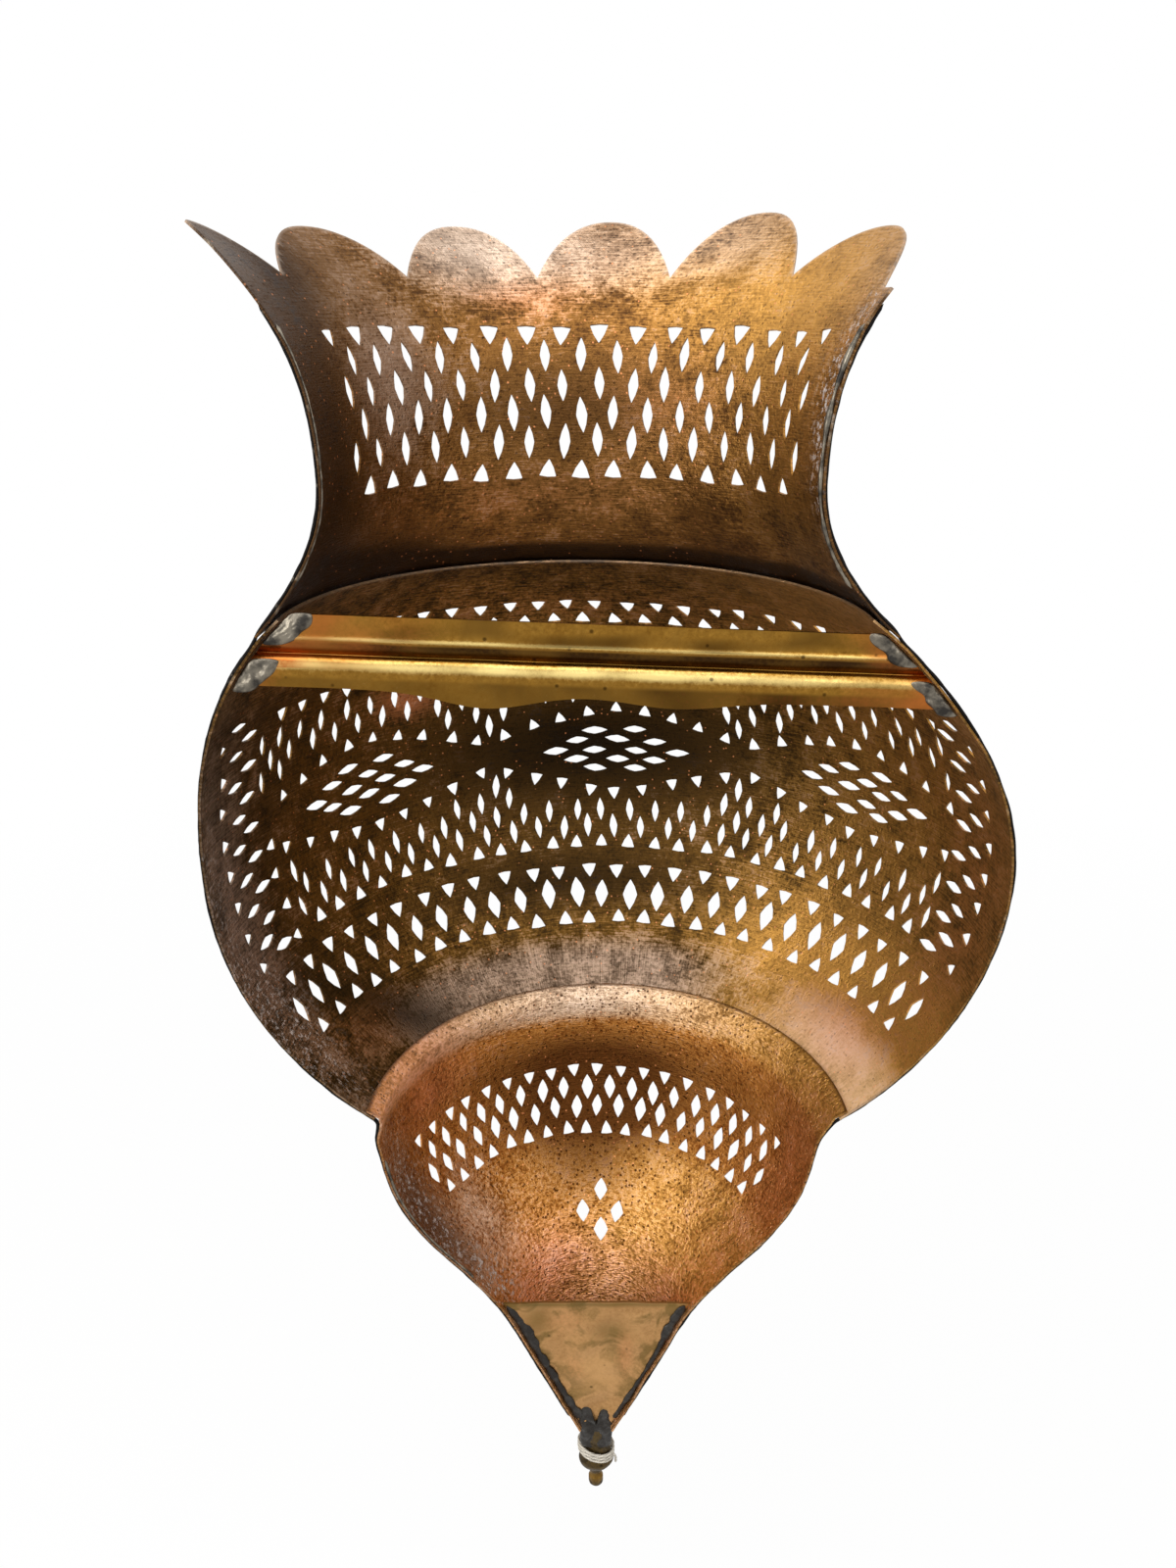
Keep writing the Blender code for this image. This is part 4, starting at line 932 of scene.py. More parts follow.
def crown_marks(angle, height, kind):
    """Painted shadow by the skirt and painted shade over the +X side, rubbed and partly lit with a
    painted highlight on the lobes, golden and partly brightened as painted light at the -X side.
    """
    # painted shadow in the gap under the skirt, above the globe's rim
    skirt = 2.2 * (1 - smooth_step(0.394, 0.402, height))
    # painted shade over the +X side
    side = 0.72 * smooth_step(52, 80, angle) + 0.12 * smooth_step(30, 55, angle)
    # rubbed patches on the lobes, partly a painted highlight
    rubbed = ((22, 0.503, 18, 0.016, 0.50), (-7, 0.500, 20, 0.016, 0.22), (-34, 0.503, 16, 0.013, 0.24))
    rubbed += ((86, 0.497, 8, 0.010, 0.4),)
    # golden patches at the -X side, partly painted light on the lit side
    golden_and_painted_light = ((-38, 0.490, 26, 0.022, 0.5), (-66, 0.490, 24, 0.030, 0.55), (-66, 0.435, 26, 0.046, 0.45))
    copper = ((-22, 0.452, 30, 0.016, 0.2), (12, 0.486, 16, 0.008, 0.4), (10, 0.420, 50, 0.012, 0.2))
    # darker patches at the band's middle and by the +X horn, and a painted shadow under the skirt at +X
    dark = ((5, 0.450, 40, 0.022, 0.68), (66, 0.495, 10, 0.016, 0.3), (52, 0.398, 22, 0.009, 1.2))
    film = ((84, 0.500, 12, 0.030, 0.35), (50, 0.460, 16, 0.030, 0.45), (14, 0.500, 30, 0.012, 0.25))
    return {
        "soot": np.maximum(skirt, np.minimum(side, 0.8)) + patches(angle, height, dark),
        "gold": patches(angle, height, golden_and_painted_light),
        "copper": patches(angle, height, copper),
        "bloom": patches(angle, height, film),
        "polish": patches(angle, height, rubbed),
        "bare": 0.3 * (kind == 3),
        "tin": 0.6 * (kind == 2),
        "oxide": patches(angle, height, ((-84, 0.458, 5.0, 0.034, 1.3), (-79, 0.462, 4.0, 0.010, 0.6))),
    }


def globe_marks(angle, height, kind):
    """Painted shade in the middle and painted shadows low by both back edges, golden by the foot, golden
    and partly painted light at the -X side and the shoulder, corroded by the +X edge.
    """
    foot = 1 - smooth_step(0.212, 0.226, height)
    lower = 1 - smooth_step(0.226, 0.262, height)
    shoulder = smooth_step(0.345, 0.362, height)
    right = smooth_step(-12, -62, angle)
    # soft painted shadows low down by both back edges
    painted_shadows = ((74, 0.240, 7, 0.012, 0.50), (66, 0.228, 7, 0.012, 0.60), (58, 0.216, 7, 0.012, 0.65))
    painted_shadows += ((50, 0.207, 8, 0.008, 0.60), (-68, 0.232, 5, 0.008, 0.3), (-60, 0.218, 6, 0.007, 0.3))
    # painted shade over the middle of the field
    dark = ((2, 0.300, 42, 0.036, 1.00), (8, 0.240, 36, 0.014, 0.75))
    copper = ((37, 0.331, 6, 0.009, 0.8), (-66, 0.214, 15, 0.010, 0.8), (0, 0.370, 70, 0.012, 0.2))
    copper += ((-80, 0.27, 12, 0.06, 0.35), (66, 0.215, 14, 0.012, 0.35), (84, 0.26, 8, 0.05, 0.25))
    film = ((84, 0.280, 10, 0.070, 0.5),)
    return {
        "soot": patches(angle, height, painted_shadows + dark),
        # golden by the foot; at the -X side and the shoulder partly painted light
        "gold": 0.15 * lower + 0.45 * right + 0.55 * right * lower + 0.25 * shoulder,
        "copper": patches(angle, height, copper),
        "bloom": foot * (0.42 - 0.42 * right) * smooth_step(75, 45, angle) + patches(angle, height, film),
        # polish on the foot, more at -X, partly painted light
        "polish": foot * (0.1 + 0.25 * smooth_step(-40, -65, angle)),
        "bare": 0.2 * (kind == 3),
        "tin": 0.4 * (kind == 2),
        "oxide": patches(angle, height, ((84, 0.232, 7, 0.026, 0.8), (89, 0.285, 4, 0.050, 0.5))),
        "drawn": 0.6 * foot,
        "matt": 0.95 * foot * smooth_step(-40, -65, angle),
    }


def bowl_marks(angle, height, kind):
    """Bright lip, partly a painted highlight at the front, with a painted shadow along its top edge;
    brown and darker below it, brighter towards -X as painted light, golden and copper towards the point,
    a corroded +X edge.
    """
    lip = smooth_step(0.189, 0.196, height)
    body = 1 - smooth_step(0.137, 0.150, height)
    foot = 1 - smooth_step(0.098, 0.122, height)
    left, right = smooth_step(40, 74, angle), smooth_step(10, -50, angle)
    copper = ((58, 0.182, 18, 0.012, 0.7), (34, 0.107, 36, 0.016, 0.5), (-78, 0.160, 14, 0.040, 0.5))
    # darker patches below the lip at the front and by the +X edge
    dark = ((0, 0.172, 52, 0.018, 1.05), (2, 0.150, 44, 0.013, 0.85), (84, 0.145, 12, 0.034, 0.85))
    dark += ((4, 0.132, 26, 0.012, 0.55),)
    film = ((62, 0.130, 20, 0.024, 0.5), (84, 0.150, 10, 0.040, 0.5))
    return {
        # painted shadow along the lip's top edge, where it laps inside the globe
        "soot": np.maximum(patches(angle, height, dark), 1.0 * (kind == 3)),
        # golden, brighter at -X and dimmer at +X partly as painted light
        "gold": body * (0.45 + 0.55 * right) * (1 - 0.5 * left) + lip * (0.85 + 0.2 * right) + 0.8 * foot,
        "copper": patches(angle, height, copper) + 0.8 * lip * smooth_step(25, 60, angle) + 0.5 * foot,
        "bloom": patches(angle, height, film),
        # polish at the front of the lip, partly a painted highlight
        "polish": lip * (0.05 + 0.6 * bell(angle, 8, 40)) + 0.05 * foot + 0.1 * body,
        "tin": 0.4 * (kind == 2),
        "oxide": patches(angle, height, ((82, 0.150, 9, 0.040, 0.75), (74, 0.112, 12, 0.014, 0.9))),
        "matt": lip * smooth_step(20, 55, angle),
    }


# Finishes


def add(tree, kind, settings, links):
    """Add one shader node with its settings and links, and return its first output."""
    made = tree.nodes.new("ShaderNode" + kind)
    for key, value in settings.items():
        if isinstance(key, str) and hasattr(made, key):
            setattr(made, key, value)
        else:
            made.inputs[key].default_value = value
    for key, source in links.items():
        tree.links.new(source, made.inputs[key])
    return made.outputs[0]


def new_finish(name):
    """Empty material with its node tree, Principled shader and texture coordinates."""
    finish = bpy.data.materials.new(name)
    finish.use_nodes = True
    tree = finish.node_tree
    tree.nodes.clear()
    coords = tree.nodes.new("ShaderNodeTexCoord")
    shader = tree.nodes.new("ShaderNodeBsdfPrincipled")
    out = tree.nodes.new("ShaderNodeOutputMaterial")
    tree.links.new(shader.outputs[0], out.inputs["Surface"])
    return finish, tree, shader, coords


def link_shader(tree, shader, **sources):
    """Link the shader's sockets, named with _ for a space."""
    for key, source in sources.items():
        tree.links.new(source, shader.inputs[key.replace("_", " ")])


def per_mm(size):
    """Texture scale that gives a pattern about so many millimetres across, in metres."""
    return 1000.0 / size


def rgba(value, scale=1.0):
    """Colour property with full alpha, scaled in brightness."""
    return (*(scale * part for part in value), 1.0)


def aged_brass(name, dark, light, coarse, scratch, contrast, pits, relief, rough):
    """Hand-raised sheet brass under decades of patina.

    The eye gets brown to golden mottling 11 mm across with grain of 1.5 mm in it, scratches half
    a millimetre wide that lie round the shell or, where drawn, down it, pale specks that are partly
    painted glints, dark pits, blotches with ragged edges where the marks lie, among them painted
    shade, painted shadow and painted light, tinned edges and flakes of corrosion.
    """
    finish, tree, shader, coords = new_finish(name)
    place, flow = coords.outputs["Object"], coords.outputs["UV"]
    tint = colours()
    mark = {key: add(tree, "Attribute", {"attribute_name": key}, {}).node.outputs["Fac"] for key in MARKS}
    mottle = {"Scale": per_mm(11), "Detail": 8.0, "Roughness": 0.62}
    mottle = add(tree, "TexNoise", mottle, {"Vector": place})
    grain = {"Scale": per_mm(1.5), "Detail": 4.0, "Roughness": 0.65}
    grain = add(tree, "TexNoise", grain, {"Vector": place})
    lines = []
    for wide, tall in ((9.0, 0.55), (0.7, 14.0)):
        lay = add(tree, "Mapping", {"Scale": (per_mm(wide), per_mm(tall), 1.0)}, {"Vector": flow})
        lines.append(add(tree, "TexNoise", {"Scale": 1.0, "Detail": 3.0}, {"Vector": lay}))
    streak = add(tree, "MixRGB", {}, {"Fac": mark["drawn"], "Color1": lines[0], "Color2": lines[1]})
    tone = add(tree, "Math", {"operation": "MULTIPLY_ADD", 1: coarse}, {0: mottle, 2: grain})
    tone = add(tree, "Math", {"operation": "MULTIPLY_ADD", 1: scratch}, {0: streak, 2: tone})
    middle = (coarse + 1 + scratch) / 2
    span = {"From Min": middle - 0.32 / contrast, "From Max": middle + 0.32 / contrast}
    tone = add(tree, "MapRange", span, {"Value": tone})
    base = add(tree, "MixRGB", {"Color1": rgba(dark), "Color2": rgba(light)}, {"Fac": tone})
    ragged = {}
    for key in ("gold", "copper", "bloom", "polish", "soot"):
        ragged_by = 0.25 if key == "polish" else 0.45
        share = add(tree, "Math", {"operation": "MULTIPLY_ADD", 1: ragged_by}, {0: tone, 2: mark[key]})
        span = {"From Min": 0.75 * ragged_by, "From Max": 0.8 + ragged_by}
        ragged[key] = add(tree, "MapRange", span, {"Value": share})
        # the soot mark is mostly painted shade and painted shadow, in 0.4 of the patina's own dark
        value = rgba(dark, 0.4)[:3] if key == "soot" else getattr(tint, key)
        shade = {"Color1": rgba(value, 0.76 / contrast), "Color2": rgba(value, 0.65 + 0.35 * contrast)}
        shade = add(tree, "MixRGB", shade, {"Fac": tone})
        base = add(tree, "MixRGB", {}, {"Fac": ragged[key], "Color1": base, "Color2": shade})
    dots = {}
    # pale copper specks, partly painted glints, and dark pits
    kinds = (("speck_and_glint", 2.3, 0.20, 0.62, 0.6), ("pit", 1.7, 0.32, 0.5, pits))
    for key, size, near, chance, strength in kinds:
        cells = add(tree, "TexVoronoi", {"Scale": per_mm(size)}, {"Vector": place})
        span = {"From Min": near, "From Max": 0.4 * near, "To Max": strength}
        dot = add(tree, "MapRange", span, {"Value": cells})
        drawn = {"operation": "GREATER_THAN", 1: chance}
        drawn = add(tree, "Math", drawn, {0: cells.node.outputs["Color"]})
        dots[key] = add(tree, "Math", {"operation": "MULTIPLY"}, {0: dot, 1: drawn})
    layers = [(dots["speck_and_glint"], rgba(tint.copper, 1.25)), (dots["pit"], rgba(dark, 0.35))]
    for share, value in (*layers, (mark["bare"], rgba(tint.polish))):
        base = add(tree, "MixRGB", {"Color2": value}, {"Fac": share, "Color1": base})
    dash = add(tree, "TexNoise", {"Scale": per_mm(8), "Detail": 5.0}, {"Vector": place})
    dash = add(tree, "MapRange", {"From Min": 0.58, "From Max": 0.66}, {"Value": dash})
    shade = {"Color1": rgba(tint.iron), "Color2": rgba(tint.solder)}
    shade = add(tree, "MixRGB", shade, {"Fac": dash})
    base = add(tree, "MixRGB", {}, {"Fac": mark["tin"], "Color1": base, "Color2": shade})
    flake = {"Scale": per_mm(2.1), "Detail": 6.0, "Roughness": 0.72}
    flake = add(tree, "TexNoise", flake, {"Vector": place})
    flake = add(tree, "MapRange", {"From Min": 0.53, "From Max": 0.61}, {"Value": flake})
    flake = add(tree, "Math", {"operation": "MULTIPLY"}, {0: flake, 1: mark["oxide"]})
    base = add(tree, "MixRGB", {"Color2": rgba(tint.oxide)}, {"Fac": flake, "Color1": base})
    metal = add(tree, "Math", {"operation": "MULTIPLY_ADD", 1: -0.8, 2: 0.92}, {0: flake})
    for source, gain in ((ragged["bloom"], -0.5), (mark["matt"], -0.9)):
        less = {"operation": "MULTIPLY_ADD", "use_clamp": True, 1: gain}
        metal = add(tree, "Math", less, {0: source, 2: metal})
    dull = add(tree, "MapRange", {"To Min": rough + 0.12, "To Max": rough - 0.08}, {"Value": tone})
    for source, gain in ((ragged["soot"], 0.14), (flake, 0.3), (dots["pit"], 0.1)):
        dull = add(tree, "Math", {"operation": "MULTIPLY_ADD", 1: gain}, {0: source, 2: dull})
    height = grain
    for source, gain in ((streak, 0.7), (mottle, 1.4), (dots["pit"], -0.8), (flake, 0.4)):
        height = add(tree, "Math", {"operation": "MULTIPLY_ADD", 1: gain}, {0: source, 2: height})
    bump = add(tree, "Bump", {"Distance": 0.0006 * relief}, {"Height": height})
    link_shader(tree, shader, Base_Color=base, Metallic=metal, Roughness=dull, Normal=bump)
    return finish


def stained_brass(name, tints, cloud_size, cloudy, relief, rough):
    """Rolled brass, rubbed and stained.

    The eye gets fine grain, sharp-edged clouds of stain, rubbed metal, grime and heat colour
    where the marks lie, and a few dark spots; on the bar the marks also carry painted shade and a
    painted highlight, and on the finial a painted highlight. The tints are the plain, the rubbed,
    the shining, the stained and the heat-coloured metal; on the bar the shining tint is a painted
    highlight and the stained one also painted shade. The mark of heat colour is not named heat,
    because the renderer has a use of its own for that name.
    """
    main, rubbed, shine, stain, heat = tints
    finish, tree, shader, coords = new_finish(name)
    place = coords.outputs["Object"]
    cloud = {"Scale": per_mm(cloud_size), "Detail": 5.0, "Distortion": 0.9}
    cloud = add(tree, "TexNoise", cloud, {"Vector": place})
    grain = {"Scale": per_mm(1.3), "Detail": 5.0, "Roughness": 0.7}
    grain = add(tree, "TexNoise", grain, {"Vector": place})
    fine = add(tree, "Math", {"operation": "MULTIPLY_ADD", 1: 1.2}, {0: cloud, 2: grain})
    fine = add(tree, "MapRange", {"From Min": 0.72, "From Max": 1.48}, {"Value": fine})
    base = add(tree, "MixRGB", {"Color1": rgba(main), "Color2": rgba(rubbed)}, {"Fac": fine})
    dark = {"From Min": 0.50, "From Max": 0.58, "To Max": cloudy}
    dark = add(tree, "MapRange", dark, {"Value": cloud})
    base = add(tree, "MixRGB", {"Color2": rgba(stain)}, {"Fac": dark, "Color1": base})
    # marks of rubbing, grime and heat colour; on the bar and the finial they also lay painted highlights
    # and painted shade
    for key, value in (("rub", shine), ("grime", stain), ("blush", heat)):
        mark = add(tree, "Attribute", {"attribute_name": key}, {}).node.outputs["Fac"]
        share = add(tree, "Math", {"operation": "MULTIPLY_ADD", 1: 0.6}, {0: grain, 2: mark})
        share = add(tree, "MapRange", {"From Min": 0.38, "From Max": 1.2}, {"Value": share})
        base = add(tree, "MixRGB", {"Color2": rgba(value)}, {"Fac": share, "Color1": base})
    cells = add(tree, "TexVoronoi", {"Scale": per_mm(9)}, {"Vector": place})
    spot = add(tree, "MapRange", {"From Min": 0.10, "From Max": 0.05, "To Max": 0.7}, {"Value": cells})
    base = add(tree, "MixRGB", {"Color2": rgba(stain, 0.5)}, {"Fac": spot, "Color1": base})
    dull = add(tree, "MapRange", {"To Min": rough, "To Max": rough + 0.2}, {"Value": dark})
    height = add(tree, "Math", {"operation": "MULTIPLY_ADD", 1: 0.5}, {0: grain, 2: cloud})
    bump = add(tree, "Bump", {"Strength": relief, "Distance": 0.0004}, {"Height": height})
    shader.inputs["Metallic"].default_value = 1.0
    link_shader(tree, shader, Base_Color=base, Roughness=dull, Normal=bump)
    return finish


def set_solder(name, main, bright, span, metallic, rough, crust_size, relief):
    """Solder as it set: a wrinkled skin, bright where it was wiped and dull in its hollows."""
    finish, tree, shader, coords = new_finish(name)
    place = coords.outputs["Object"]
    crust = {"Scale": per_mm(crust_size), "Detail": 5.0, "Roughness": 0.6}
    crust = add(tree, "TexNoise", crust, {"Vector": place})
    skin = add(tree, "TexNoise", {"Scale": per_mm(1.2), "Detail": 4.0}, {"Vector": place})
    share = add(tree, "MapRange", {"From Min": span[0], "From Max": span[1]}, {"Value": crust})
    base = add(tree, "MixRGB", {"Color1": rgba(main), "Color2": rgba(bright)}, {"Fac": share})
    dull = add(tree, "MapRange", {"To Min": rough + 0.12, "To Max": rough - 0.08}, {"Value": share})
    height = add(tree, "Math", {"operation": "MULTIPLY_ADD", 1: 0.4}, {0: skin, 2: crust})
    bump = add(tree, "Bump", {"Strength": relief, "Distance": 0.0007}, {"Height": height})
    shader.inputs["Metallic"].default_value = metallic
    link_shader(tree, shader, Base_Color=base, Roughness=dull, Normal=bump)
    return finish


def cotton_yarn(name, main):
    """Twisted cotton: matt off-white with painted shade in the valleys between the plies and stray
    soiling.
    """
    finish, tree, shader, coords = new_finish(name)
    place = coords.outputs["Object"]
    valley = add(tree, "Attribute", {"attribute_name": "valley"}, {}).node.outputs["Fac"]
    soil = add(tree, "TexNoise", {"Scale": per_mm(3.0), "Detail": 5.0}, {"Vector": place})
    soil = add(tree, "MapRange", {"From Min": 0.45, "From Max": 0.7, "To Max": 0.5}, {"Value": soil})
    # painted shade in the valleys between the plies
    base = {"Color1": rgba(main), "Color2": rgba(main, 0.45)}
    base = add(tree, "MixRGB", base, {"Fac": valley})
    base = add(tree, "MixRGB", {"Color2": rgba(main, 0.4)}, {"Fac": soil, "Color1": base})
    fibre = add(tree, "TexNoise", {"Scale": per_mm(0.35), "Detail": 3.0}, {"Vector": place})
    bump = add(tree, "Bump", {"Strength": 0.4, "Distance": 0.0002}, {"Height": fibre})
    shader.inputs["Roughness"].default_value = 0.9
    shader.inputs["Sheen Weight"].default_value = 0.3
    link_shader(tree, shader, Base_Color=base, Normal=bump)
    return finish


# Operators, one for each piece or group of like pieces


class SconceStage(bpy.types.Operator):
    """Pale floor, soft studio light and the camera"""

    bl_idname = "sconce.stage"
    bl_label = "Stage"

    def execute(self, context):
        scene = context.scene
        scene.view_settings.view_transform = "Standard"
        self.add_camera(scene)
        self.add_floor(scene)
        for light in LIGHTS:
            self.add_light(scene, *light)
        self.add_world(scene)
        return {"FINISHED"}

    def add_camera(self, scene):
        """Camera that looks at the open back from a little above."""
        data = bpy.data.cameras.new("photo_camera")
        data.lens = CAMERA_LENS
        data.sensor_width = CAMERA_SENSOR
        data.clip_start = CAMERA_NEAR
        camera = bpy.data.objects.new("photo_camera", data)
        camera.location = CAMERA_PLACE
        camera.rotation_euler = (math.radians(90 - CAMERA_PITCH), 0.0, math.radians(180))
        scene.collection.objects.link(camera)
        scene.camera = camera

    def add_floor(self, scene):
        """Matt floor that turns to plain white with distance, so that no horizon shows."""
        half = FLOOR_HALF
        corners = [(-half, -half), (half, -half), (half, half), (-half, half)]
        mesh = bpy.data.meshes.new("floor")
        mesh.from_pydata([(x, y, FOOT - FLOOR_DROP) for x, y in corners], [], [(0, 1, 2, 3)])
        finish, tree, shader, coords = new_finish("matt_floor_paint")
        shader.inputs["Base Color"].default_value = rgba(colours().floor)
        shader.inputs["Roughness"].default_value = 0.9
        away = {"operation": "LENGTH"}
        away = add(tree, "VectorMath", away, {0: coords.outputs["Object"]}).node.outputs["Value"]
        near, far = FLOOR_FADE
        fade = {"From Min": near, "From Max": far, "To Min": FLOOR_WHITE, "To Max": 1.0}
        fade = add(tree, "MapRange", fade, {"Value": away})
        share = add(tree, "Math", {"operation": "MULTIPLY"}, {0: self.seen_directly(tree), 1: fade})
        glow = add(tree, "Emission", {"Color": WHITE, "Strength": 1.0}, {})
        mixed = add(tree, "MixShader", {}, {0: share, 1: shader.outputs[0], 2: glow})
        out = next(node for node in tree.nodes if node.type == "OUTPUT_MATERIAL")
        tree.links.new(mixed, out.inputs["Surface"])
        mesh.materials.append(finish)
        floor = bpy.data.objects.new("floor", mesh)
        scene.collection.objects.link(floor)

    def seen_directly(self, tree):
        """1 where the camera, a reflection or a refraction looks at the background."""
        path = tree.nodes.new("ShaderNodeLightPath")
        seen = path.outputs["Is Camera Ray"]
        for kind in ("Is Glossy Ray", "Is Transmission Ray"):
            seen = add(tree, "Math", {"operation": "MAXIMUM"}, {0: seen, 1: path.outputs[kind]})
        return seen

    def add_light(self, scene, name, place, size, power):
        """Round soft light that faces the sconce."""
        data = bpy.data.lights.new(name, "AREA")
        data.shape = "DISK"
        data.size = size
        data.energy = power
        light = bpy.data.objects.new(name, data)
        light.location = place
        aim = Vector(LIGHT_AIM) - Vector(place)
        light.rotation_euler = aim.to_track_quat("-Z", "Y").to_euler()
        scene.collection.objects.link(light)

    def add_world(self, scene):
        """White world that lights the sconce less than it shows as a background."""
        world = bpy.data.worlds.new("studio")
        world.use_nodes = True
        tree = world.node_tree
        tree.nodes.clear()
        seen = self.seen_directly(tree)
        level = add(tree, "MapRange", {"To Min": WORLD_LEVEL, "To Max": 1.0}, {"Value": seen})
        glow = add(tree, "Background", {"Color": WHITE}, {"Strength": level})
        out = tree.nodes.new("ShaderNodeOutputWorld")
        tree.links.new(glow, out.inputs["Surface"])
        scene.world = world


def finial_axis():
    """Y of the finial's axis, set back so that twine and knob stay off the wall plane."""
    size = sizes()
    twine = FINIAL_NECK_RADIUS * FINIAL_DEPTH_RATIO + size.seat_gap + 2 * size.twine_radius
    return -max(twine, FINIAL_KNOB_RADIUS * FINIAL_DEPTH_RATIO) - size.seat_gap


class SconceTwine(bpy.types.Operator):
    """Three loops of twine round the finial's neck, with a short tail"""

    bl_idname = "sconce.tag_twine"
    bl_label = "Tag twine"

    def execute(self, context):
        radius = sizes().twine_radius
        path = self.route(radius)
        run = run_of(path)
        turn = np.linspace(0, 2 * np.pi, TWINE_SIDES, endpoint=False)
        lay = 0.5 * TWINE_PLIES * (turn[None] - 2 * np.pi * run[:, None] / TWINE_LAY / TWINE_PLIES)
        plies = TWINE_PLY[0] + TWINE_PLY[1] * np.abs(np.cos(lay))
        taper = radius * blunt(path, radius)
        points, faces = sweep(path, taper, taper, (0, 0, 1), TWINE_SIDES, plies)
        # painted shade where the plies meet
        valley = {"valley": np.concatenate([(1 - np.abs(np.cos(lay))).ravel(), [0, 0]])}
        finish = cotton_yarn("twisted_cotton_twine", colours().twine)
        twine = add_piece(
            "twisted_tag_twine", points, faces, finish, "tag_twine", marks=valley
        )
        return {"FINISHED"}

    def route(self, radius):
        """Tilted helix (-a cos t, -b sin t) round the flattened neck, then a tail past the knob."""
        gap = sizes().seat_gap
        across = FINIAL_NECK_RADIUS + gap + radius
        deep = FINIAL_NECK_RADIUS * FINIAL_DEPTH_RATIO + gap + radius
        loops = np.linspace(0, TWINE_LOOPS, TWINE_LOOPS * 96 + 1)
        turn = 2 * np.pi * loops
        high = FINIAL_NECK_HEIGHT + TWINE_PITCH * (TWINE_LOOPS / 2 - loops)
        x = -across * np.cos(turn)
        wound = np.stack([x, finial_axis() - deep * np.sin(turn), high + TWINE_TILT * x + FOOT], -1)
        share = np.linspace(0, 1, 31)[1:]
        out = FINIAL_KNOB_RADIUS + 2 * gap + radius - across
        tail = wound[-1] + np.stack(
            [-out * smooth_step(0, 0.6, share), -0.3 * TWINE_TAIL * share, -TWINE_TAIL * share], -1
        )
        return resample(np.concatenate([wound, tail]), TWINE_STEP)


class SconceShells(bpy.types.Operator):
    """Crown, globe and bowl: pierced, dented sheet with its wall"""

    bl_idname = "sconce.pierced_shells"
    bl_label = "Pierced shells"

    def execute(self, context):
        size, tint = sizes(), colours()
        patina = tint.crown_dark, tint.crown_light
        worn = {"coarse": 1.3, "scratch": 0.9, "contrast": 1.0, "pits": 0.5, "relief": 0.5, "rough": 0.40}
        brown = aged_brass("brown_patina_brass", *patina, **worn)
        patina = tint.globe_dark, tint.globe_light
        worn = {"coarse": 1.3, "scratch": 1.0, "contrast": 1.0, "pits": 0.4, "relief": 0.5, "rough": 0.42}
        olive = aged_brass("olive_patina_brass", *patina, **worn)
        patina = tint.bowl_dark, tint.bowl_light
        worn = {"coarse": 0.7, "scratch": 0.3, "contrast": 1.8, "pits": 0.8, "relief": 1.0, "rough": 0.36}
        pitted = aged_brass("pitted_copper_brass", *patina, **worn)
        crown = crown_radius, (size.skirt_height, scallop_edge), SCALLOP_MEETS, crown_cuts()
        add_shell("crown_shell", *crown, brown, crown_marks, "brown_brass", seed=21)
        globe = globe_radius, (size.hip_height, level_edge(size.rim_height)), (), globe_cuts()
        add_shell("globe_shell", *globe, olive, globe_marks, "olive_brass", seed=22)
        bowl_edges = CONE_END[0], level_edge(size.hip_height + LIP_RISE)
        bowl = bowl_radius, bowl_edges, (), bowl_cuts()
        add_shell("bowl_shell", *bowl, pitted, bowl_marks, "copper_brass", seed=23)
        return {"FINISHED"}


def bar_place(along, across, depth):
    """Point of the tilted bar from its length, width and depth behind its face."""
    turn = math.radians(BAR_TILT)
    x = along * math.cos(turn) - across * math.sin(turn)
    high = sizes().bar_height + along * math.sin(turn) + across * math.cos(turn)
    return np.stack([x, -BAR_RECESS - depth, high + FOOT], -1)


def bar_end(side, across, gap):
    """Length along the bar at which each line of it stops short of the globe's face by a gap."""
    along = np.full_like(across, side * float(globe_radius(sizes().bar_height)))
    for _ in range(6):
        x, _, z = bar_place(along, across, 0.0 * across).T
        stretch = np.hypot(1, slope_of(globe_radius, z - FOOT))
        room = globe_radius(z - FOOT) - gap * stretch
        along = along + axis_shift(z - FOOT) + side * room - x
    return along


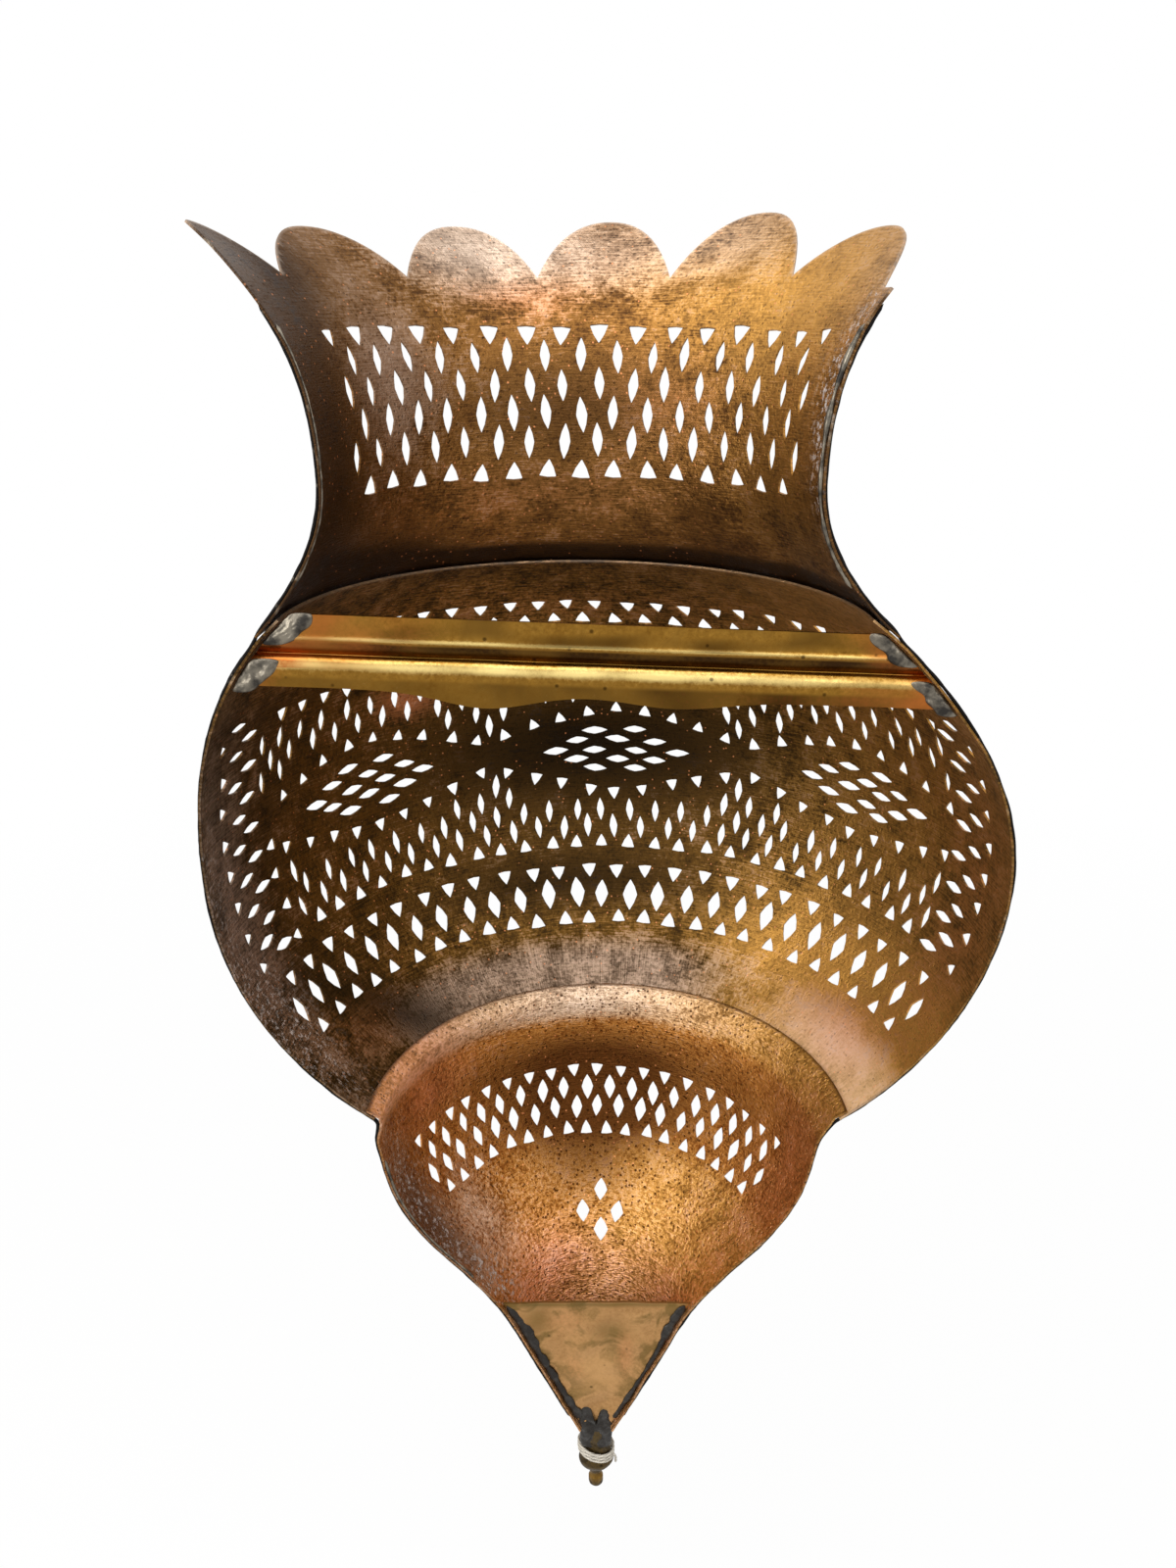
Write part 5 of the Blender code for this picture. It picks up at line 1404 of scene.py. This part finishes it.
class SconceBar(bpy.types.Operator):
    """Rolled brass bar across the open back"""

    bl_idname = "sconce.hanging_bar"
    bl_label = "Hanging bar"

    def execute(self, context):
        size, tint = sizes(), colours()
        top, foot = size.bar_width / 2, -size.bar_width / 2
        across = np.linspace(top, foot, BAR_MESH[1])
        share = np.linspace(0, 1, BAR_MESH[0])[:, None]
        start, end = (bar_end(side, across, BAR_END_GAP) for side in (-1, 1))
        along = start + (end - start) * share
        edge = np.full_like(along, foot)
        for place, swell in BAR_LOBES:
            edge -= swell * bell(along, place, BAR_LOBE_SPREAD)
        spread = np.broadcast_to(across, along.shape)
        stretched = GROOVE_FOOT + (spread - GROOVE_FOOT) * (edge - GROOVE_FOOT) / (foot - GROOVE_FOOT)
        spread = np.where(spread < GROOVE_FOOT, stretched, spread)
        flow = np.stack([along, spread], -1)
        depth = self.section(spread) + BAR_DENT * ripple(flow * [1.0, 2.5], 0.030, 31)
        front = bar_place(along, spread, depth)
        back = bar_place(along, spread, depth + BAR_SHEET)
        points, faces = thick_grid(front, back)
        marks = both_faces(self.wear(along, spread, flow, start, end))
        tints = (tint.bar, tint.bar_light, tint.bar_painted_highlight, tint.bar_stain_and_shade, tint.bar_heat)
        finish = stained_brass(
            "rolled_yellow_brass", tints, cloud_size=24, cloudy=0.25, relief=0.08, rough=0.25
        )
        add_piece(
            "rolled_hanging_bar", points, faces, finish, "hanging_bar", marks=marks
        )
        return {"FINISHED"}

    def wear(self, along, spread, flow, start, end):
        """Heat colour that fades in from the ends, painted shade and darker bands, and a painted
        highlight on the bends.

        Painted shade lies on the groove's upper wall, which faces down; both flanges have darker bands,
        the lower one more towards -X, and the groove is darkest at its +X end. The ridge and the roll
        below the crease get a painted highlight, weaker towards -X.
        """
        reach = np.minimum(end - along, along - start)
        far = along > 0
        above, below = np.where(far, *BAR_HEAT_ABOVE), np.where(far, *BAR_HEAT_BELOW)
        heat = bell(reach, 0.0, np.where(spread > GROOVE_FOOT, above, below))
        heat = heat * (0.9 + 0.2 * ripple(flow, 0.016, 32))
        heat = heat + 0.2 * smooth_step(0.02, -0.08, along) * smooth_step(-0.008, -0.010, spread)
        # painted shade on the groove's upper wall, which faces down, and darker bands on both flanges
        wall = smooth_step(GROOVE_TOP, GROOVE_TOP - 0.0012, spread) * (spread > GROOVE_CREASE)
        dull = 0.45 * bell(spread, 0.0075, 0.0030) + 0.95 * wall
        low = smooth_step(-0.0075, -0.0095, spread) * (0.40 + 0.36 * smooth_step(0.06, -0.06, along))
        # darker still at the groove's +X end
        burnt = np.abs(spread + 0.0005) < 0.0032
        dull = dull + low + burnt * np.exp(-(((end - along) / 0.011) ** 4))
        dull = dull + 0.25 * ripple(flow * [0.4, 1.2], 0.016, 34) * (spread > RIDGE[0])
        # painted highlight along the roll below the crease and on the ridge, weaker towards -X
        roll = bell(spread, GROOVE_FOOT + 0.0012, 0.0014) * (spread < GROOVE_CREASE)
        roll = roll + 0.7 * bell(spread, RIDGE[0] + 0.0002, 0.0006)
        roll = roll * (0.45 + 0.55 * smooth_step(-0.12, -0.02, along))
        uneven = 0.85 + 0.15 * ripple(flow * [0.6, 1.0], 0.014, 33)
        return {"blush": 0.7 * heat, "grime": dull * uneven, "rub": roll * uneven}

    def section(self, across):
        """Depth of the groove from a ridge c exp(-(a/s)^2) down to a crease, and of its lower wall.

        The upper wall is g t^1.4 from the ridge to the crease, and the lower wall the quarter
        roll g (1 - sqrt(1 - u^2)) that comes back out to the lower flange.
        """
        place, spread, rise = RIDGE
        ridge = rise * bell(across, place, spread)
        upper = np.clip((GROOVE_TOP - across) / (GROOVE_TOP - GROOVE_CREASE), 0, 1)
        lower = np.clip((across - GROOVE_FOOT) / (GROOVE_CREASE - GROOVE_FOOT), 0, 1)
        roll = 1 - np.sqrt(1 - lower**2)
        return GROOVE_DEPTH * np.minimum(upper**1.4, roll) - ridge


class SconcePlate(bpy.types.Operator):
    """Stained plate that closes the bowl's point"""

    bl_idname = "sconce.tip_plate"
    bl_label = "Tip plate"

    def execute(self, context):
        size, tint = sizes(), colours()
        across = np.linspace(1, -1, PLATE_MESH[1])[None, :]
        share = np.linspace(0, 1, PLATE_MESH[0])[:, None]
        height = size.plate_top_height + PLATE_BOW * (1 - across**2) * (1 - share)
        height = height - (size.plate_top_height - PLATE_END_HEIGHT) * share
        half = np.sqrt(bowl_radius(height) ** 2 - (PLATE_RECESS + PLATE_THICKNESS) ** 2)
        x = across * (half - size.lap_gap)
        flow = np.stack([x, height], -1)
        dents = PLATE_DENT * ripple(flow, 0.017, 41)
        front = np.stack([x, -PLATE_RECESS + dents, height + FOOT], -1)
        back = front - np.array([0.0, PLATE_THICKNESS, 0.0])
        points, faces = thick_grid(front, back)
        warm = ((-12, 0.082, 4, 0.014, 0.30), (12, 0.100, 9, 0.008, 0.22), (9, 0.075, 5, 0.010, 0.18))
        dirt = ((0, 0.1085, 60, 0.0012, 0.7), (-6, 0.094, 8, 0.006, 0.5), (24, 0.100, 6, 0.008, 0.5))
        rubs = ((10, 0.098, 7, 0.008, 0.4), (-16, 0.098, 7, 0.010, 0.3), (0, 0.072, 14, 0.014, 0.7))
        spots = {"blush": warm, "grime": dirt, "rub": rubs}
        marks = both_faces({key: patches(x * 1000, height, spot) for key, spot in spots.items()})
        tints = (tint.plate, tint.plate_light, tint.plate_light, tint.plate_stain, tint.copper)
        finish = stained_brass(
            "stained_plate_brass", tints, cloud_size=15, cloudy=0.7, relief=0.4, rough=0.40
        )
        add_piece("stained_tip_plate", points, faces, finish, "tip_plate", marks=marks)
        return {"FINISHED"}


class SconceFinial(bpy.types.Operator):
    """Turned bronze finial under the bowl"""

    bl_idname = "sconce.finial"
    bl_label = "Finial"

    def execute(self, context):
        tint = colours()
        high = FINIAL_KNOTS[-1][0]
        height = np.linspace(0, high, FINIAL_MESH[0])
        turn = np.linspace(0, 2 * np.pi, FINIAL_MESH[1], endpoint=False)
        radius = monotone(FINIAL_KNOTS, height)[:, None] * np.ones_like(turn)
        flat = np.stack(np.broadcast_arrays(np.cos(turn), np.sin(turn), height[:, None] / 0.01), -1)
        radius = radius * (1 + FINIAL_WOBBLE * ripple(flat, 1.3, 51))
        x = radius * np.cos(turn)
        y = finial_axis() + FINIAL_DEPTH_RATIO * radius * np.sin(turn)
        z = np.broadcast_to(height[:, None] + FOOT, x.shape)
        poles = np.array([[0, finial_axis(), FOOT], [0, finial_axis(), FOOT + high]])
        points = np.concatenate([np.stack([x, y, z], -1)[:, ::-1].reshape(-1, 3), poles])
        # painted gold highlight on the lower knob, laid with the heat-colour mark
        heat = bell(height, 0.0055, 0.003)[:, None] * np.ones_like(turn)
        heat = np.concatenate([heat.ravel(), [0.5, 0]])
        faces = tube_faces(len(height), len(turn))
        tints = (tint.bronze, tint.plate_stain, tint.plate, tint.flux, tint.bar_light)
        finish = stained_brass(
            "dark_turned_bronze", tints, cloud_size=4, cloudy=0.7, relief=0.4, rough=0.42
        )
        marks = {"blush": 0.4 * heat, "grime": 0 * heat, "rub": 0 * heat}
        add_piece("turned_finial", points, faces, finish, "finial", marks=marks)
        return {"FINISHED"}


class SconceWires(bpy.types.Operator):
    """Blackened wire soldered along both back edges"""

    bl_idname = "sconce.edge_wires"
    bl_label = "Edge wires"

    def execute(self, context):
        tint = colours()
        shine = {"span": (0.60, 0.72), "metallic": 1.0, "rough": 0.42, "crust_size": 7.0, "relief": 0.4}
        finish = set_solder("tinned_iron_wire", tint.iron, tint.solder, **shine)
        for name, side, seed in (("edge_wire_right", 1, 61), ("edge_wire_left", -1, 62)):
            path = self.route(side)
            radius, (least, usual, most) = sizes().wire_radius, WIRE_SHARES
            rough = usual + 0.07 * ripple(path, 0.011, seed) + 0.04 * ripple(path, 0.004, seed + 10)
            swell = radius * np.clip(rough, least, most) * blunt(path, radius)
            points, faces = sweep(path, swell, swell, (0, 1, 0))
            add_piece("tinned_" + name, points, faces, finish, name)
        return {"FINISHED"}

    def route(self, side):
        """Line along the back edges of crown, globe and bowl, bedded on each one's outer face."""
        size = sizes()
        lift = size.sheet + WIRE_BED * size.wire_radius
        over = WIRE_STEP_OVER
        spans = (
            (crown_radius, size.mouth_height - WIRE_TOP_DROP, size.skirt_height),
            (globe_radius, size.skirt_height - over, size.hip_height + over / 2),
            (bowl_radius, size.hip_height - over, CONE_END[0] + WIRE_END_RISE),
        )
        lines = [
            edge_line(radius_at, side, np.linspace(high, low, 60), lift, size.wire_radius)
            for radius_at, high, low in spans
        ]
        return resample(np.concatenate(lines), WIRE_STEP)


class SconceSolder(bpy.types.Operator):
    """Grey lumps and beads that join the shells and the bar, and burnt solder at the point"""

    bl_idname = "sconce.solder"
    bl_label = "Solder"

    def execute(self, context):
        tint = colours()
        wiped = {"span": (0.36, 0.60), "metallic": 0.85, "rough": 0.36, "crust_size": 6.0, "relief": 0.35}
        self.grey = set_solder("wiped_tin_solder", tint.solder_dark, tint.solder, **wiped)
        burnt = {"span": (0.45, 0.65), "metallic": 0.5, "rough": 0.42, "crust_size": 3.0, "relief": 0.6}
        self.black = set_solder("burnt_flux_solder", tint.flux, tint.solder_dark, **burnt)
        self.add_bar_lumps()
        self.add_edge_beads()
        self.add_seam_beads()
        self.add_tip_beads()
        outline = rounded(np.array(ROOT_OUTLINE) + [0.0, FOOT])
        points, faces = puddle(outline, -PLATE_RECESS - ROOT_SINK, ROOT_RISE, 95)
        add_piece("burnt_root_solder", points, faces, self.black, "root_solder")
        return {"FINISHED"}

    def add_bar_lumps(self):
        """Puddles over the bar's ends, from the globe's face in by each lump's widths."""
        for seed, (name, (side, limits, widths)) in enumerate(LUMPS.items(), 71):
            across = np.linspace(*limits, len(widths))
            outer = bar_place(bar_end(side, across, LUMP_REACH), across, 0 * across)
            inner = bar_place(bar_end(side, across, np.array(widths)), across, 0 * across)
            corners = np.concatenate([outer, inner[::-1]])[:: side, [0, 2]]
            points, faces = puddle(rounded(corners), -BAR_RECESS - LUMP_SINK, LUMP_RISE, seed)
            add_piece("set_" + name, points, faces, self.grey, name)

    def add_bead(self, name, path, wide, thick, up, seed, finish, slot):
        """Lumpy bead along a path, its size wandering by about a quarter."""
        path = resample(path, BEAD_STEP)
        wide = np.interp(np.linspace(0, 1, len(path)), np.linspace(0, 1, len(wide)), wide)
        rough = 1 + 0.20 * ripple(path, 0.009, seed) + 0.12 * ripple(path, 0.0035, seed + 1)
        share = np.clip(rough, *BEAD_SHARES) * blunt(path, 2 * wide.max())
        points, faces = sweep(path, wide * share, thick * share, up)
        add_piece("set_" + name, points, faces, finish, name)

    def add_edge_beads(self):
        """Thin beads in the corners inside the crown's and the bowl's back edges."""
        size = sizes()
        crown = (size.mouth_height - CROWN_BEAD[1], size.skirt_height + CROWN_BEAD[0])
        bowl = (size.hip_height - BOWL_BEAD[1], size.plate_top_height + BOWL_BEAD[0])
        lines = (
            ("crown_solder_right", crown_radius, 1, crown, 0.5),
            ("crown_solder_left", crown_radius, -1, crown, 1.0),
            ("bowl_solder_right", bowl_radius, 1, bowl, 0.6),
        )
        for seed, (name, radius_at, side, (high, low), share) in enumerate(lines, 81):
            wide = share * BEAD_RADIUS
            path = edge_line(radius_at, side, np.linspace(high, low, 50), -wide / 2, 1.4 * wide)
            self.add_bead(name, path, [wide, wide], wide, (0, 1, 0), seed, self.grey, "grey_solder")

    def add_seam_beads(self):
        """Rings at the height and radius of the CAD fillets' boxes."""
        wide = SEAM_BEAD_RADIUS
        for seed, name in enumerate(("shoulder_solder", "hip_solder"), 86):
            low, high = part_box(name)
            radius = -low.y - wide
            turn = np.radians(np.linspace(-SEAM_END_ANGLE, SEAM_END_ANGLE, 200))
            x = (low.x + high.x) / 2 + radius * np.sin(turn)
            level = np.full_like(turn, (low.z + high.z) / 2)
            path = np.stack([x, -radius * np.cos(turn), level], -1)
            self.add_bead(name, path, [wide, wide], wide, (0, 0, 1), seed, self.grey, "grey_solder")

    def add_tip_beads(self):
        """Flat black bands in the corners between the plate and the bowl."""
        size = sizes()
        high, low = size.plate_top_height - TIP_BEAD_ENDS[0], PLATE_END_HEIGHT + TIP_BEAD_ENDS[1]
        heights = np.linspace(high, low, 60)
        level = np.full_like(heights, -PLATE_RECESS + TIP_BEAD_OUT)
        for seed, (name, side, wide) in enumerate(TIP_BEADS, 91):
            inset = np.interp(np.linspace(0, 1, 60), np.linspace(0, 1, len(wide)), wide)
            half = np.sqrt(bowl_radius(heights) ** 2 - PLATE_RECESS**2) - inset
            path = np.stack([side * half, level, heights + FOOT], -1)
            self.add_bead(name, path, wide, TIP_BEAD_RISE, (0, 1, 0), seed, self.black, "black_solder")


class SconcePanel(bpy.types.Panel):
    """Lists the sconce's pieces and their sizes and colours"""

    bl_idname = "VIEW3D_PT_sconce"
    bl_label = "Pierced wall sconce"
    bl_space_type = "VIEW_3D"
    bl_region_type = "UI"
    bl_category = "Sconce"

    def draw(self, context):
        for operator in OPERATORS:
            self.layout.operator(operator.bl_idname)
        for group in (context.scene.sconce_sizes, context.scene.sconce_colours):
            for name in group.__annotations__:
                self.layout.prop(group, name)


OPERATORS = (
    SconceStage,
    SconceTwine,
    SconceShells,
    SconceBar,
    SconcePlate,
    SconceFinial,
    SconceWires,
    SconceSolder,
)
CLASSES = (SconceSizes, SconceColours, *OPERATORS, SconcePanel)


def register():
    """Register the classes and hang the sizes and colours on the scene."""
    for kind in CLASSES:
        bpy.utils.register_class(kind)
    bpy.types.Scene.sconce_sizes = bpy.props.PointerProperty(type=SconceSizes)
    bpy.types.Scene.sconce_colours = bpy.props.PointerProperty(type=SconceColours)


def unregister():
    """Take the sizes and colours off the scene and unregister the classes."""
    del bpy.types.Scene.sconce_colours
    del bpy.types.Scene.sconce_sizes
    for kind in reversed(CLASSES):
        bpy.utils.unregister_class(kind)


def main():
    """Make every piece in order."""
    register()
    bpy.ops.sconce.stage()
    bpy.ops.sconce.tag_twine()
    bpy.ops.sconce.pierced_shells()
    bpy.ops.sconce.hanging_bar()
    bpy.ops.sconce.tip_plate()
    bpy.ops.sconce.finial()
    bpy.ops.sconce.edge_wires()
    bpy.ops.sconce.solder()
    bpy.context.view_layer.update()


if __name__ == "__main__":
    main()
